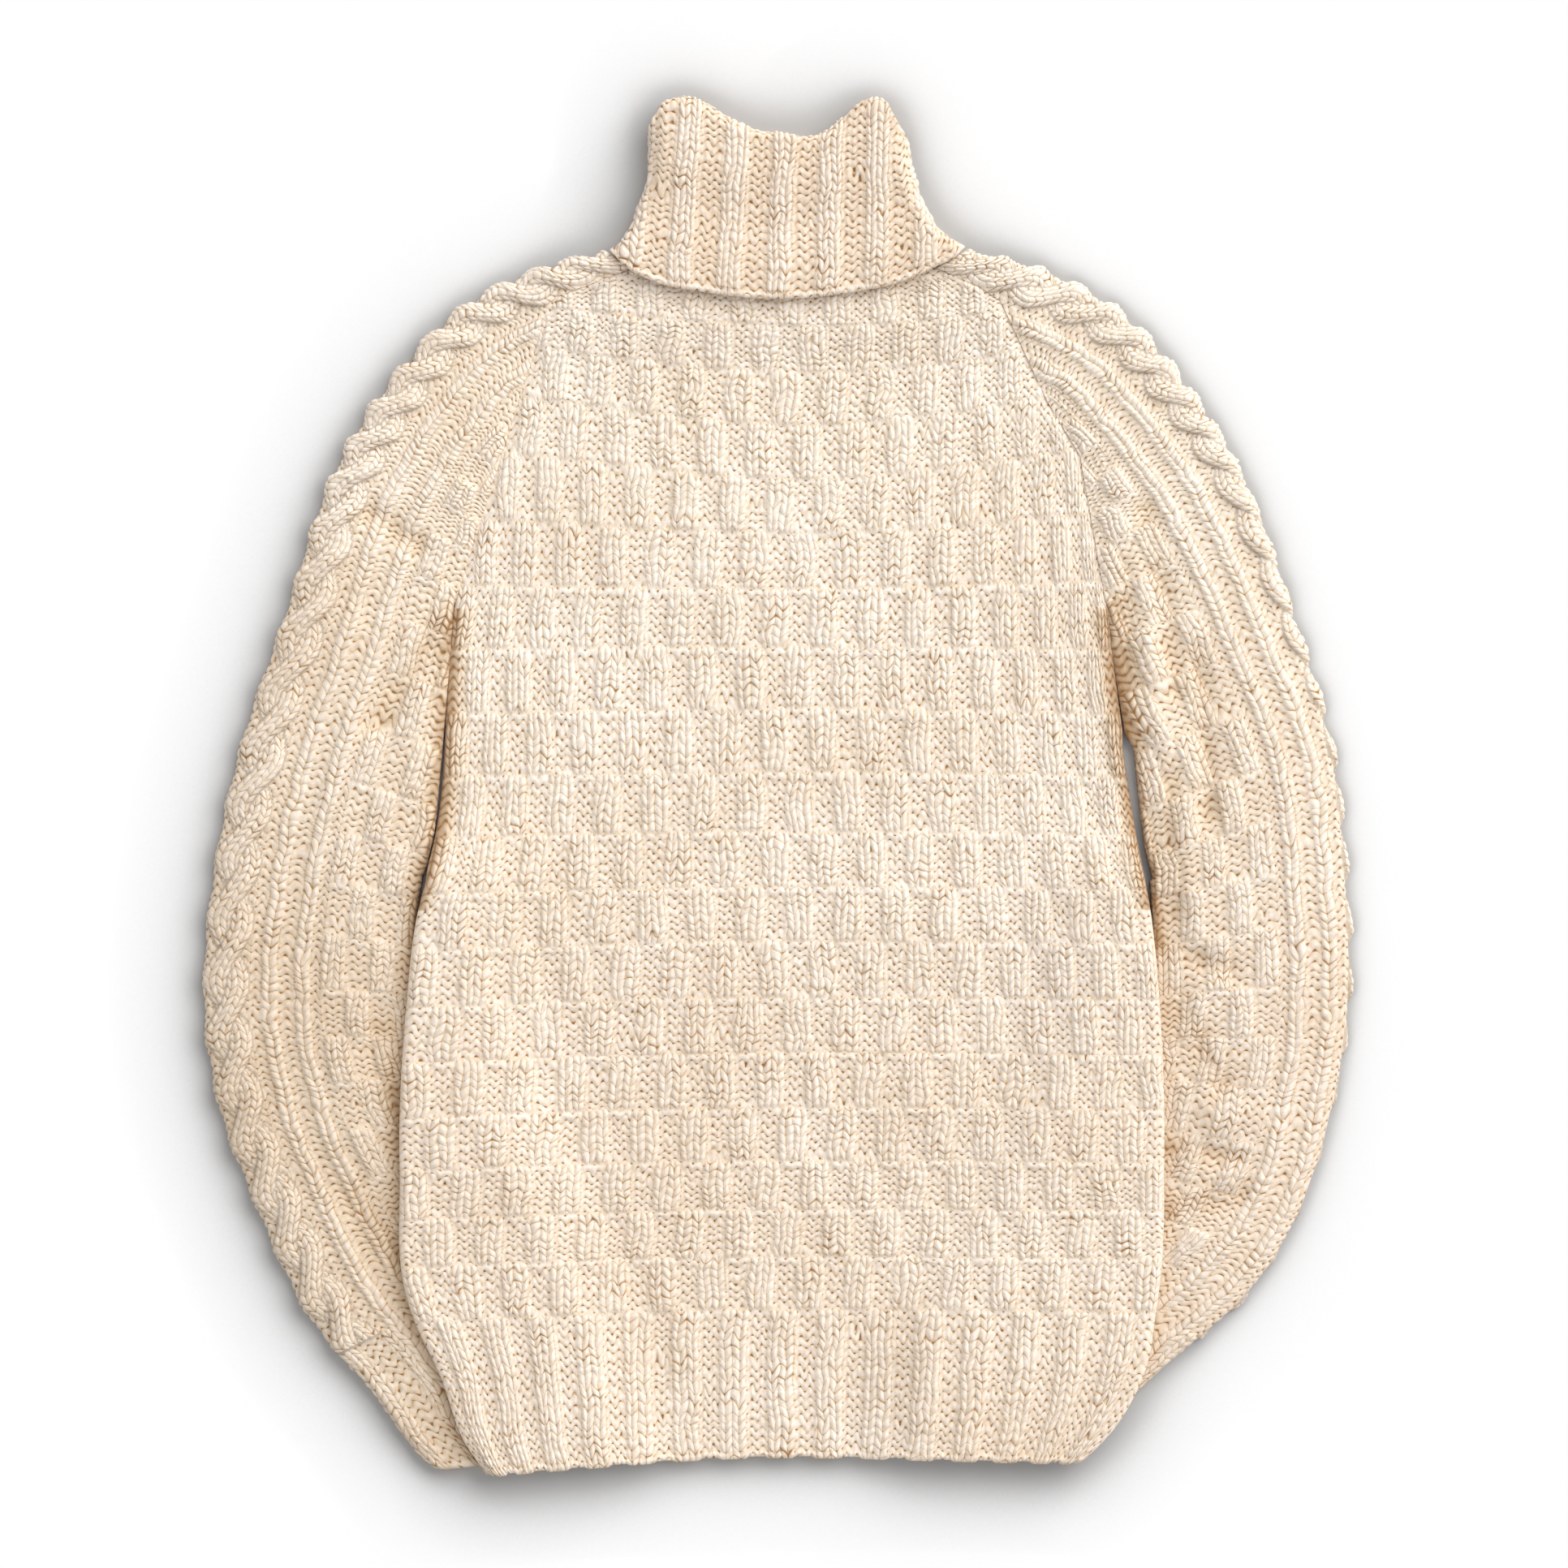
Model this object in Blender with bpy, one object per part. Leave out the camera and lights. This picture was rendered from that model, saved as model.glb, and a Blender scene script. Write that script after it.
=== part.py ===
"""Aran sweater, laid flat: front, back, two raglan sleeves and a turned-down rib collar.

The origin is on the surface that the sweater lies on, under the middle of its outline.
+X is the sweater's left in this view, +Y runs from the hem to the collar, +Z is up.
Sizes below are millimetres; the objects are in metres.
"""
import bmesh
import bpy
import numpy as np

MM = 0.001

# Knitted wall
WALL = 4.0             # thickness of the plain knitting
GAP = 0.3              # between pieces that lie on each other
SEAM_GAP = 0.7         # across a raglan seam
SIDE_GAP = 2.0         # between the body's side and the sleeve beside it
RELIEF = 2.5           # how far ribs and basket blocks stand out
CABLE_RELIEF = 3.2     # how far the rope cable stands out
SEAM_DROP = 0.8        # how far a raglan seam sinks
MERGE = 0.05           # vertices closer than this are one
NEAREST = 2.2          # a column that comes this near an edge ends on it

# Body knitting
STITCH = 7.55          # width of one stitch
HALF_STITCHES = 31     # stitches on each side of the middle
RIB_ROWS = 15          # rows of hem rib
BLOCK_ROWS = 6         # rows in a basket block
BLOCKS_HIGH = 19       # rows of basket blocks
NECK_ROW = 133         # a row that lies above every point of the neck
BEVEL = 0.2            # stitches between a block's edge and its flat top
SPREAD = 0.17          # stitches that a knit block swells over its purl neighbour
TUCK_REACH = 64.0      # how far a tucked side edge draws the columns with it
SAG_WIDTH = 230.0      # distance from the middle at which a row has its whole sag

# Lying over the sleeves and the collar
SLEEVE_STEP = 9.6      # height of the body's underside where it lies on a sleeve
STEP_REACH = 25.0      # how far that height carries on past the sleeve
STEP_RAMP = 60.0       # length of the slope down from it
CROSS_TOP = -6.0       # the body starts to climb on to the sleeves at this y ...
CROSS_RUN = 60.0       # ... and has climbed after this length
UNDERARM = 114.0       # y of the underarm points

# Sleeve knitting
SLEEVE_END = 165       # the last row, at the cuff
CUFF_ROWS = 15         # rows of rib in a cuff
FOLD_RADIUS = WALL + 0.2
SEAM_BENDS = [3.0, 8.0, 9.0, 10.0]  # rows at which a sleeve's raglan edge bends


def table(names, *rows):
    """A short table: one array for each named column."""
    return dict(zip(names.split(), np.array(rows, float).T))


# Rows of body stitches, from the cast-on edge up to the neck
BODY = table(
    "row     y     mid  left  right  sag_left  sag_right",
    (0,   -411.0,  2,  -179,  188,     16,        5),
    (4,   -388.0,  2,  -194,  209,     13,        4),
    (9,   -357.0,  2,  -206,  226,      8,        2),
    (15,  -320.5,  4,  -223,  233,      7,        1),
    (33,  -229.0,  9,  -232,  238,      6,        1),
    (51,  -128.5, 13,  -228,  235,      6,        2),
    (60,   -77.0, 14,  -222,  230,      5,        2),
    (69,   -26.5, 14,  -209,  221,      4,        3),
    (87,    87.0, 14,  -200,  205,      2,        2),
    (96,   140.0, 16,  -195,  199,     -6,      -12),
    (105,  190.5, 18,  -192,  194,    -22,      -28),
    (117,  255.0, 22,  -186,  190,    -26,      -34),
    (133,  330.0, 26,  -180,  184,      0,        0))

# Where the front and back end against the sleeves: side edges, then raglan seams
ARMHOLE_LEFT = table(
    "y      x",
    (-57, -217), (-26, -210), (30, -205), (87, -200), (114, -198),
    (290, -142), (303, -134), (320, -88))
ARMHOLE_RIGHT = table(
    "y      x",
    (-57,  229), (-26,  221), (30, 214), (87, 205), (114, 202),
    (205,  186), (238, 166), (300, 137), (308, 125), (321, 96))

# Neck edges of the front and back panels
NECK = table(
    "x      front  back",
    (-88,   320,   320), (-75,  316,   324), (-44,  311,   326), (0, 308, 326),
    (46,    311,   326), (81,   317,   326), (96,   321,   321))

# Sleeves: the outer fold and the inner edge of rows of stitches, from the neck to the cuff.
# roll is how far the cable has turned over the fold; puff is the air inside the tube.
SLEEVE_COLUMNS = "row  out_x   out_y   in_x   in_y   roll  puff"
SLEEVES = {
    "left": table(
        SLEEVE_COLUMNS,
        (0,   -103.5,  329.0,  -12,   267,   9, 0.0),
        (9,   -140.0,  319.0,  -88,   236,   9, 0.8),
        (22,  -190.0,  296.0, -124,   208,   8, 1.6),
        (38,  -240.0,  246.0, -156,   174,   5, 2.2),
        (54,  -276.0,  186.0, -176,   140,   3, 2.6),
        (70,  -303.0,  106.0, -203,    72,   1, 3.0),
        (84,  -330.0,   26.0, -210,   -12,   0, 3.2),
        (98,  -347.0,  -54.0, -221,   -78,   0, 3.2),
        (109, -353.0, -124.0, -222,  -132,   0, 3.2),
        (121, -344.0, -194.0, -215,  -180,   0, 3.0),
        (132, -322.0, -254.0, -198,  -228,   0, 2.6),
        (147, -282.0, -334.0, -172,  -280,   0, 2.0),
        (156, -246.0, -375.0, -158,  -334,   0, 1.2),
        (165, -217.0, -421.0, -136,  -411,   0, 0.6)),
    "right": table(
        SLEEVE_COLUMNS,
        (0,    117.0,  331.0,   22,   276,   2, 0.0),
        (12,   163.0,  318.5,  113,   234,   3, 0.8),
        (23,   206.0,  296.0,  137,   210,   5, 1.6),
        (39,   251.0,  246.0,  168,   177,   9, 2.2),
        (55,   286.0,  186.0,  189,   139,  14, 2.6),
        (70,   315.0,  106.0,  213,    70,  21, 3.0),
        (84,   340.0,   26.0,  223,   -14,  27, 3.2),
        (98,   349.5,  -54.0,  230,   -78,  28, 3.2),
        (109,  351.5, -124.0,  226,  -133,  29, 3.2),
        (121,  342.0, -194.0,  216,  -182,  31, 3.0),
        (131,  324.0, -254.0,  200,  -228,  32, 2.6),
        (144,  286.0, -314.0,  178,  -262,  30, 2.0),
        (154,  241.0, -354.0,  160,  -290,  28, 1.0),
        (165,  192.0, -400.0,  128,  -345,  26, 0.4)),
}

# Bands of a sleeve, measured from the middle of its cable, which lies CABLE_MIDDLE from the fold
CABLE_MIDDLE = 15.0
CABLE_HALF = 14.0
SLEEVE_RIBS = table("start  end", (20, 31), (40, 51))
FIRST_BLOCK = 57.0     # start of the basket blocks
SLEEVE_BLOCK = 15.0    # width of a block
SLEEVE_BLOCKS = 5      # blocks across the widest part
EDGE, BEFORE_EDGE = 999.0, 998.0    # stand for the inner edge and just before it

# Creases pressed into the sleeves, from end to end
CREASE_COLUMNS = "x0    y0    x1    y1   width"
CREASES = {
    "left": table(
        CREASE_COLUMNS,
        (-209,  100, -246,   40,  9), (-244, -150, -230, -215,  9),
        (-262, -250, -236, -290, 10), (-250,  170, -222,  150,  8)),
    "right": table(
        CREASE_COLUMNS,
        (228,   172,  246,   60,  8), (212,   130,  224,   35,  8),
        (259,    85,  266,  -15,  7), (241,     5,  244,  -80,  8),
        (234,   -95,  276, -112,  8), (246,  -132,  272, -182,  9),
        (239,  -219,  282, -228,  8), (234,  -262,  283, -250, 10)),
}

# Soft folds that stand up in the sleeves, from end to end
FOLD_COLUMNS = "x0    y0    x1    y1   width  height"
FOLDS = {
    "left": table(
        FOLD_COLUMNS,
        (-262,   95, -272,  -90,   13,    1.8), (-276,  -130, -262, -215,   14,   1.2)),
    "right": table(
        FOLD_COLUMNS,
        (222,    95,  252,  -62,   15,    3.4), (272,  -200,  294, -203,   13,    2.0)),
}

# Low waves in the front
WAVES = table(
    "x0    y0    x1    y1   width  height",
    (60,   -70,  200, -100,   30,    1.6),
    (-190, -60,  -60,  -90,   35,    1.2),
    (90,  -190,  220, -240,   30,    1.6),
    (-200, -210, -90, -250,   30,    1.4),
    (-120,  150, -20,  120,   40,    1.0),
    (60,   180,  150,  120,   35,    1.2))

# Collar: its outline, its crest and its lower edge
COLLAR_SIDES = table(
    "y      left    right",
    (300, -108.0, 122.0), (322, -106.0, 120.0), (330, -102.5, 116.5), (334, -98.5, 113.0),
    (340,  -92.5, 104.5), (348,  -87.0,  96.5), (356,  -85.0,  91.0), (363, -82.0,  87.0),
    (371,  -79.0,  85.0), (385,  -77.5,  81.5), (400,  -77.5,  80.0), (426, -78.5,  79.0))
COLLAR_TOP = table(
    "x     y",
    (-79, 406.0), (-74, 421.0), (-67, 425.5), (-57, 425.5), (-46, 422.5), (-30, 413.0),
    (-14, 406.5), (3,   404.0), (15,  402.5), (31,  405.0), (42,  413.0), (52,  422.0),
    (62,  425.5), (70,  422.0), (76,  410.0), (81,  398.0))
COLLAR_RIM = table(
    "x      front   back",
    (-103,  331.0,  331.0), (-92,  321.0,  327.0), (-79,  313.0,  322.0), (-44,  304.5,  318.0),
    (-4,    300.5,  316.0), (46,   304.5,  318.0), (81,   313.0,  322.0), (98,   323.0,  328.0),
    (118,   335.0,  335.0))
COLLAR_RIBS = 7        # knit ribs across the front
FIRST_RIB = 0.045      # the first rib's middle, as a share of the front's width
RIB_STEP = 0.1435      # from one rib to the next
RIB_TOP = 0.031        # half a rib's flat top
RIB_FOOT = 0.045       # half a rib's foot
NECK_GAP = 1.2         # between the panels' neck edges and the collar
NECK_STEP = WALL + GAP  # height of the panels' neck edges, which lie on the collar's back
NECK_STEP_START = 255.0
NECK_STEP_RUN = 35.0
NECK_STEP_HALF = 135.0
NECK_STEP_SIDE = 40.0

# The folded collar wall, once round its section. layer 0 ends at the lower edge and layer 1
# at the neck seam; up runs from there to the crest; inset is the depth into the flattened tube
# at its sides and back; height is the level of the front.
COLLAR_WALL = table(
    "layer  up    inset  height  ribbed",
    (0,    0.00,  0.0,   19.6,   1),
    (0,    0.16,  0.0,   20.2,   1),
    (0,    0.45,  0.0,   17.9,   1),
    (0,    0.70,  0.0,   20.0,   1),
    (0,    0.93,  0.0,   19.4,   1),
    (0,    1.00,  4.3,   14.4,   0),
    (1,    0.93,  8.8,    9.4,   0),
    (1,    0.45,  8.8,    9.4,   0),
    (1,    0.00,  8.8,    9.4,   0),
    (1,    0.00,  4.6,   13.2,   0),
    (1,    0.45,  4.6,   13.2,   0),
    (1,    0.88,  4.6,   13.2,   0),
    (0,    0.95,  4.3,   13.6,   0),
    (0,    0.88,  4.0,   14.8,   0),
    (0,    0.70,  4.0,   16.0,   0),
    (0,    0.45,  4.0,   13.9,   0),
    (0,    0.16,  4.0,   16.2,   0),
    (0,    0.00,  4.0,   15.6,   0),
    (0,    0.00,  0.0,   19.6,   1))
INNER_DRAW = 3.2       # how much narrower the inner layer is on each side
INNER_END = 4.0        # and how far it ends inside the corners of the neck

YARNS = {              # colour, roughness
    "front": ((0.80, 0.67, 0.53), 0.92),
    "back": ((0.76, 0.63, 0.49), 0.92),
    "sleeve_left": ((0.74, 0.61, 0.47), 0.92),
    "sleeve_right": ((0.76, 0.63, 0.49), 0.92),
    "collar": ((0.75, 0.62, 0.48), 0.92),
}


def flow(at, xs, ys):
    """Read a smooth curve through the points (xs, ys)."""
    slopes = np.gradient(ys, xs)
    i = np.clip(np.searchsorted(xs, at) - 1, 0, len(xs) - 2)
    step = xs[i + 1] - xs[i]
    t = np.clip((at - xs[i]) / step, 0, 1)
    ends = (1 + 2 * t) * (1 - t) ** 2 * ys[i] + t ** 2 * (3 - 2 * t) * ys[i + 1]
    return ends + step * t * (1 - t) * ((1 - t) * slopes[i] - t * slopes[i + 1])


def where_met(start, end, beyond):
    """The last place on the way from start to end before beyond(place) comes true."""
    for _ in range(30):
        middle = (start + end) / 2
        past = beyond(middle)
        start, end = np.where(past, start, middle), np.where(past, middle, end)
    return start


def ease(t):
    """0 below 0, 1 above 1, and a smooth step between."""
    t = np.clip(t, 0, 1)
    return t * t * (3 - 2 * t)


def ridges(rows, x, y):
    """How near each point is to each line of a table, from 0 to 1, one row for each line."""
    near = []
    for x0, y0, x1, y1, width in zip(*(rows[name] for name in ("x0", "y0", "x1", "y1", "width"))):
        run = np.hypot(x1 - x0, y1 - y0)
        along = ((x - x0) * (x1 - x0) + (y - y0) * (y1 - y0)) / run
        off = ((x - x0) * (y1 - y0) - (y - y0) * (x1 - x0)) / run
        past = np.maximum(np.maximum(-along, along - run), 0)
        near.append(np.exp(-(off / width) ** 2 - (past / width) ** 2))
    return np.array(near)


# ---------------------------------------------------------------- body

def side_edges(row):
    return (flow(row, BODY["row"], BODY[name]) for name in ("left", "right"))


def row_height(row, x):
    """The y of a row of stitches at x: rows sag or rise away from the middle."""
    mid, level, sag_left, sag_right = (
        flow(row, BODY["row"], BODY[name]) for name in ("mid", "y", "sag_left", "sag_right"))
    away = np.abs(x - mid) / SAG_WIDTH
    return level - np.where(x < mid, sag_left, sag_right) * away ** 1.5


def body_point(column, row):
    """Where a stitch of the body lies. The columns near a side are drawn in with its edge."""
    mid = flow(row, BODY["row"], BODY["mid"])
    left, right = side_edges(row)
    half = HALF_STITCHES * STITCH
    x = mid + STITCH * column
    from_left, from_right = x - (mid - half), (mid + half) - x
    x = x + (left - (mid - half)) * np.exp(-from_left / TUCK_REACH)
    x = x + (right - (mid + half)) * np.exp(-from_right / TUCK_REACH)
    return x, row_height(row, x)


def armhole(y):
    """The x of both armhole lines at y."""
    return (np.interp(y, line["y"], line["x"]) for line in (ARMHOLE_LEFT, ARMHOLE_RIGHT))


def neck_row(column):
    """The row at which a column of the front reaches the neck."""
    def over(row):
        x, y = body_point(column, row)
        return y > flow(x, NECK["x"], NECK["front"])
    return where_met(90.0 + 0 * column, NECK_ROW + 0 * column, over)


def neck_corners():
    """The columns of the front that end at the two corners of the neck."""
    def past(column):
        x, _ = body_point(column, neck_row(column))
        return (x < NECK["x"][0]) | (x > NECK["x"][-1])
    ends = np.array([-1.0, 1.0]) * HALF_STITCHES
    return where_met(0 * ends, ends, past)


def last_column(row, end):
    """The column at which a row of the front meets its raglan seam or side, towards end."""
    def past(column):
        x, y = body_point(column, row)
        left, right = armhole(y)
        return (y > UNDERARM - 4) & ((x < left) | (x > right))
    return where_met(0 * row, end + 0 * row, past)


def sleeve_inner_edge(side, y):
    """The x of the hidden inner edge of a sleeve."""
    rows = SLEEVES[side]
    return np.interp(y, rows["in_y"][:5:-1], rows["in_x"][:5:-1])


def neck_lift(x, y):
    """Height of the panels above the surface near the collar's back."""
    middle = (NECK["x"][0] + NECK["x"][-1]) / 2
    side = 1 - ease((np.abs(x - middle) - NECK_STEP_HALF) / NECK_STEP_SIDE)
    return NECK_STEP * ease((y - NECK_STEP_START) / NECK_STEP_RUN) * side


def body_lift(x, y):
    """Height of the body's underside above the surface."""
    crossing = ease((CROSS_TOP - y) / CROSS_RUN)
    lift = neck_lift(x, y)
    for side, inward in (("left", 1), ("right", -1)):
        past = (x - sleeve_inner_edge(side, y)) * inward - STEP_REACH
        lift = lift + SLEEVE_STEP * crossing * (1 - ease(past / STEP_RAMP))
    return lift


def front_waves(x, y):
    return (ridges(WAVES, x, y) * WAVES["height"].reshape(-1, *[1] * np.ndim(x))).sum(axis=0)


def is_knit(block, row):
    """True on the knit blocks of the hem rib and of the basket pattern above it."""
    course = np.floor((row - RIB_ROWS) / BLOCK_ROWS)
    return np.where(row < RIB_ROWS, block % 2 == 0, (block + course) % 2 == 1)


def front_face(column, row):
    """The front's outer face: raised ribs and blocks, sunk at the seams, round at the sides."""
    block = np.floor((column + 1) / 2)
    side = np.sign(column - 2 * block)
    knit = is_knit(block, row)
    top = neck_row(np.clip(column, *neck_corners()))
    at_neck = row > top - 0.5
    row = np.where(at_neck, top, row)
    outward = side * np.where(knit, SPREAD, -SPREAD)
    x, y = body_point(np.where(at_neck, column, column + outward), row)
    at_side = np.zeros(x.shape, bool)
    for end in (-HALF_STITCHES, HALF_STITCHES):
        end_x, end_y = body_point(last_column(row, end), row)
        here = (x - end_x) * np.sign(end) > -NEAREST
        x, y = np.where(here, end_x, x), np.where(here, end_y, y)
        at_side |= here
    at_seam = at_side & (y > UNDERARM - 4)
    at_hem = row < 0.1
    for corner in (0, -1):
        here = at_seam & at_neck & (x * NECK["x"][corner] > 0)
        x = np.where(here, NECK["x"][corner], x)
        y = np.where(here, NECK["front"][corner], y)
    z = body_lift(x, y) + WALL + GAP + front_waves(x, y) + WALL
    z = z + np.where(knit & ~(at_side | at_hem | at_neck), RELIEF, 0)
    z = z - np.where(at_seam, SEAM_DROP, np.where(at_side, WALL / 2, 0))
    return x, y, z - np.where(at_hem, WALL / 4, 0)


def panel_point(across, row, neck):
    """A point of a plain panel: across runs from its left edge, 0, to its right edge, 1."""
    x = np.zeros_like(across)
    for _ in range(6):
        y = row_height(row, x)
        y = np.minimum(y, flow(x, NECK["x"], NECK[neck]))
        low_left, low_right = side_edges(row)
        cut_left, cut_right = armhole(y)
        seam = y > UNDERARM - 4
        left = np.where(seam, cut_left, low_left)
        right = np.where(seam, cut_right, low_right)
        x = left + (right - left) * across
    return x, y


def panel_face(level, neck, wavy=False):
    """A plain face of a panel, level above its underside."""
    def place(across, row):
        x, y = panel_point(across, row, neck)
        return x, y, body_lift(x, y) + level + (front_waves(x, y) if wavy else 0)
    return place


# ---------------------------------------------------------------- sleeves

def sleeve_run(side, row):
    """A row of sleeve stitches: its outer end, its direction, its length and whether it is open."""
    rows = SLEEVES[side]
    out_x, out_y, in_x, in_y = (
        flow(row, rows["row"], rows[name]) for name in ("out_x", "out_y", "in_x", "in_y"))
    whole = np.hypot(in_x - out_x, in_y - out_y)
    dir_x, dir_y = (in_x - out_x) / whole, (in_y - out_y) / whole
    steps = np.linspace(0, 1, 400).reshape(-1, *[1] * np.ndim(row))
    x, y = out_x + dir_x * whole * steps, out_y + dir_y * whole * steps
    left, right = armhole(y)
    gap = np.where(y > UNDERARM, SEAM_GAP, SIDE_GAP)
    beyond = x - left + gap if side == "left" else right + gap - x
    beyond = np.where(y > ARMHOLE_LEFT["y"][0], beyond, -1)
    crosses = (beyond > 0).any(axis=0)
    length = np.where(crosses, whole * (beyond > 0).argmax(axis=0) / 400, whole)
    is_open = out_y + dir_y * length > UNDERARM
    return out_x, out_y, dir_x, dir_y, length, is_open


def body_cover(side, x, y):
    """Distance outside the edge of the body that lies over the sleeve; negative under it."""
    edge_y = row_height(BODY["row"], BODY[side])
    edge = flow(y, edge_y, BODY[side])
    past = edge - x if side == "left" else x - edge
    return past + 4 * np.maximum(y - CROSS_TOP + CROSS_RUN, 0)


def sleeve_swell(side, row, depth, length, x, y):
    """The air inside the sleeve, with its folds, less its creases, its edges and under the body."""
    puff = flow(row, SLEEVES[side]["row"], SLEEVES[side]["puff"])
    creased = 1 - ridges(CREASES[side], x, y).max(axis=0)
    folds = FOLDS[side]
    raised = (ridges(folds, x, y) * folds["height"].reshape(-1, *[1] * np.ndim(x))).sum(axis=0)
    fade = ease(depth / 28) * ease((length - depth) / 22) * ease((body_cover(side, x, y) - 9) / 20)
    return (puff * creased + raised) * fade


def sleeve_relief(band, row, knit_row):
    """Height of the cable, ribs and blocks; band is the distance from the cable's middle."""
    in_cuff = row > SLEEVE_END - CUFF_ROWS
    block = np.floor((band - FIRST_BLOCK) / SLEEVE_BLOCK)
    blocks = np.where(in_cuff, block % 2 == 1, (block + knit_row) % 2 == 1)
    rise = np.where((band > FIRST_BLOCK) & blocks, RELIEF, 0.0)
    for start, end in zip(SLEEVE_RIBS["start"], SLEEVE_RIBS["end"]):
        rise = np.where((band > start) & (band < end), RELIEF, rise)
    late = (row / BLOCK_ROWS) % 1 > 0.5
    strand = np.where((band > 0) == late, 1.0, 0.45)
    on_cable = np.abs(band) < CABLE_HALF - 2
    return np.where(on_cable, CABLE_RELIEF * np.where(in_cuff, 0.7, strand), rise)


def sleeve_columns():
    """Bands at which the sleeve's outer face has a column, from the inner edge to the cable."""
    bands = []
    for block in range(SLEEVE_BLOCKS):
        start = FIRST_BLOCK + block * SLEEVE_BLOCK
        bands += [start + 1.4, start + SLEEVE_BLOCK - 1.4]
    for start, end in zip(SLEEVE_RIBS["start"], SLEEVE_RIBS["end"]):
        bands += [start - 1.0, start + 1.0, end - 1.0, end + 1.0]
    bands += [-CABLE_HALF + 1, -CABLE_HALF + 5, -0.5, CABLE_HALF - 5, CABLE_HALF - 1]
    return sorted(bands, reverse=True)


def sleeve_skin(side):
    """The sleeve's outer face, over its top from the inner edge, round the fold and back under."""
    turn = np.radians([90, 45, 0, -45, -90])
    under = [0.35, 0.7, 1.0]
    top = 2 + len(sleeve_columns())
    bands = [EDGE, BEFORE_EDGE] + sleeve_columns() + [0.0] * (len(turn) + len(under)) + [EDGE]

    def place(column, row):
        column = column.astype(int)
        out_x, out_y, dir_x, dir_y, length, is_open = sleeve_run(side, row)
        band = np.array(bands)[column]
        roll = flow(row, SLEEVES[side]["row"], SLEEVES[side]["roll"])
        depth = band + CABLE_MIDDLE - roll
        before = length - FOLD_RADIUS
        depth = np.where(depth > before - NEAREST, before, depth)
        depth = np.where(depth < FOLD_RADIUS + 1, FOLD_RADIUS, depth)
        depth = np.where(band == EDGE, length, depth)
        x, y = out_x + dir_x * depth, out_y + dir_y * depth
        shown = ease((body_cover(side, x, y) - 9) / 12)
        swell = sleeve_swell(side, row, depth, length, x, y)
        plain = (depth >= before) | (depth <= FOLD_RADIUS) | (row == SLEEVE_END) | (row == 0)
        z = 2 * FOLD_RADIUS + swell
        z = z + np.where(plain, 0, shown * sleeve_relief(band, row, np.floor(row / BLOCK_ROWS)))
        z = np.where(depth == length,
                     np.where(is_open, 2 * FOLD_RADIUS - SEAM_DROP, FOLD_RADIUS), z)
        for k, angle in enumerate(turn):
            here = column == top + k
            depth = np.where(here, FOLD_RADIUS * (1 - np.cos(angle)), depth)
            z = np.where(here, FOLD_RADIUS * (1 + np.sin(angle)), z)
        for k, share in enumerate(under):
            here = column == top + len(turn) + k
            depth = np.where(here, FOLD_RADIUS + (before - FOLD_RADIUS) * share, depth)
            z = np.where(here, 0, z)
        z = np.where(column == len(bands) - 1, np.where(is_open, 0, FOLD_RADIUS), z)
        x, y = out_x + dir_x * depth, out_y + dir_y * depth
        return x, y, z + neck_lift(x, y)

    return np.arange(len(bands)), place


def sleeve_lining(side):
    """The sleeve's plain inner face, in the same order as its outer face."""
    shares = [1.0, 0.8, 0.6, 0.4, 0.2, 0.0, 0.33, 0.67, 1.0]
    fold = shares.index(0.0)

    def place(column, row):
        column = column.astype(int)
        out_x, out_y, dir_x, dir_y, length, is_open = sleeve_run(side, row)
        share = np.array(shares)[column]
        at_edge = share == 1.0
        start = WALL + 0.4
        end = length - np.where(is_open, 0, WALL)
        depth = start + (end - start) * share
        x, y = out_x + dir_x * depth, out_y + dir_y * depth
        swell = sleeve_swell(side, row, depth, length, x, y)
        over = 2 * FOLD_RADIUS - WALL + swell
        z = np.where(column < fold, over, WALL)
        z = np.where(column == fold, FOLD_RADIUS, z)
        z = np.where(at_edge & ~is_open, FOLD_RADIUS + 0.6, z)
        return x, y, z + neck_lift(x, y)

    return np.arange(len(shares)), place


def sleeve_rows():
    """Rows with vertices: both ends of each course, and where the seam bends or ends."""
    courses = (SLEEVE_END - CUFF_ROWS) // BLOCK_ROWS
    cuff = SLEEVE_END - CUFF_ROWS
    rows = [0.0, cuff + 0.5, cuff + 5, cuff + 10, SLEEVE_END - 1, SLEEVE_END]
    for course in range(courses):
        rows += [BLOCK_ROWS * course + 0.5, BLOCK_ROWS * course + 5.5]
    rows.remove(0.5)
    return sorted(rows + SEAM_BENDS)


# ---------------------------------------------------------------- collar

def collar_columns():
    """The columns round the collar: side of the tube, and place along it."""
    columns = []
    for rib in range(COLLAR_RIBS):
        middle = FIRST_RIB + RIB_STEP * rib
        columns += [("front", middle - RIB_FOOT, 0), ("front", middle - RIB_TOP, 1),
                    ("front", middle + RIB_TOP, 1), ("front", middle + RIB_FOOT, 0)]
    columns += [("right", angle, 0) for angle in (45, 0, -45)]
    columns += [("back", share, 0) for share in (0.98, 0.8, 0.6, 0.4, 0.2, 0.02)]
    columns += [("left", angle, 0) for angle in (-45, 0, 45)]
    return columns + columns[:1]


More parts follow.
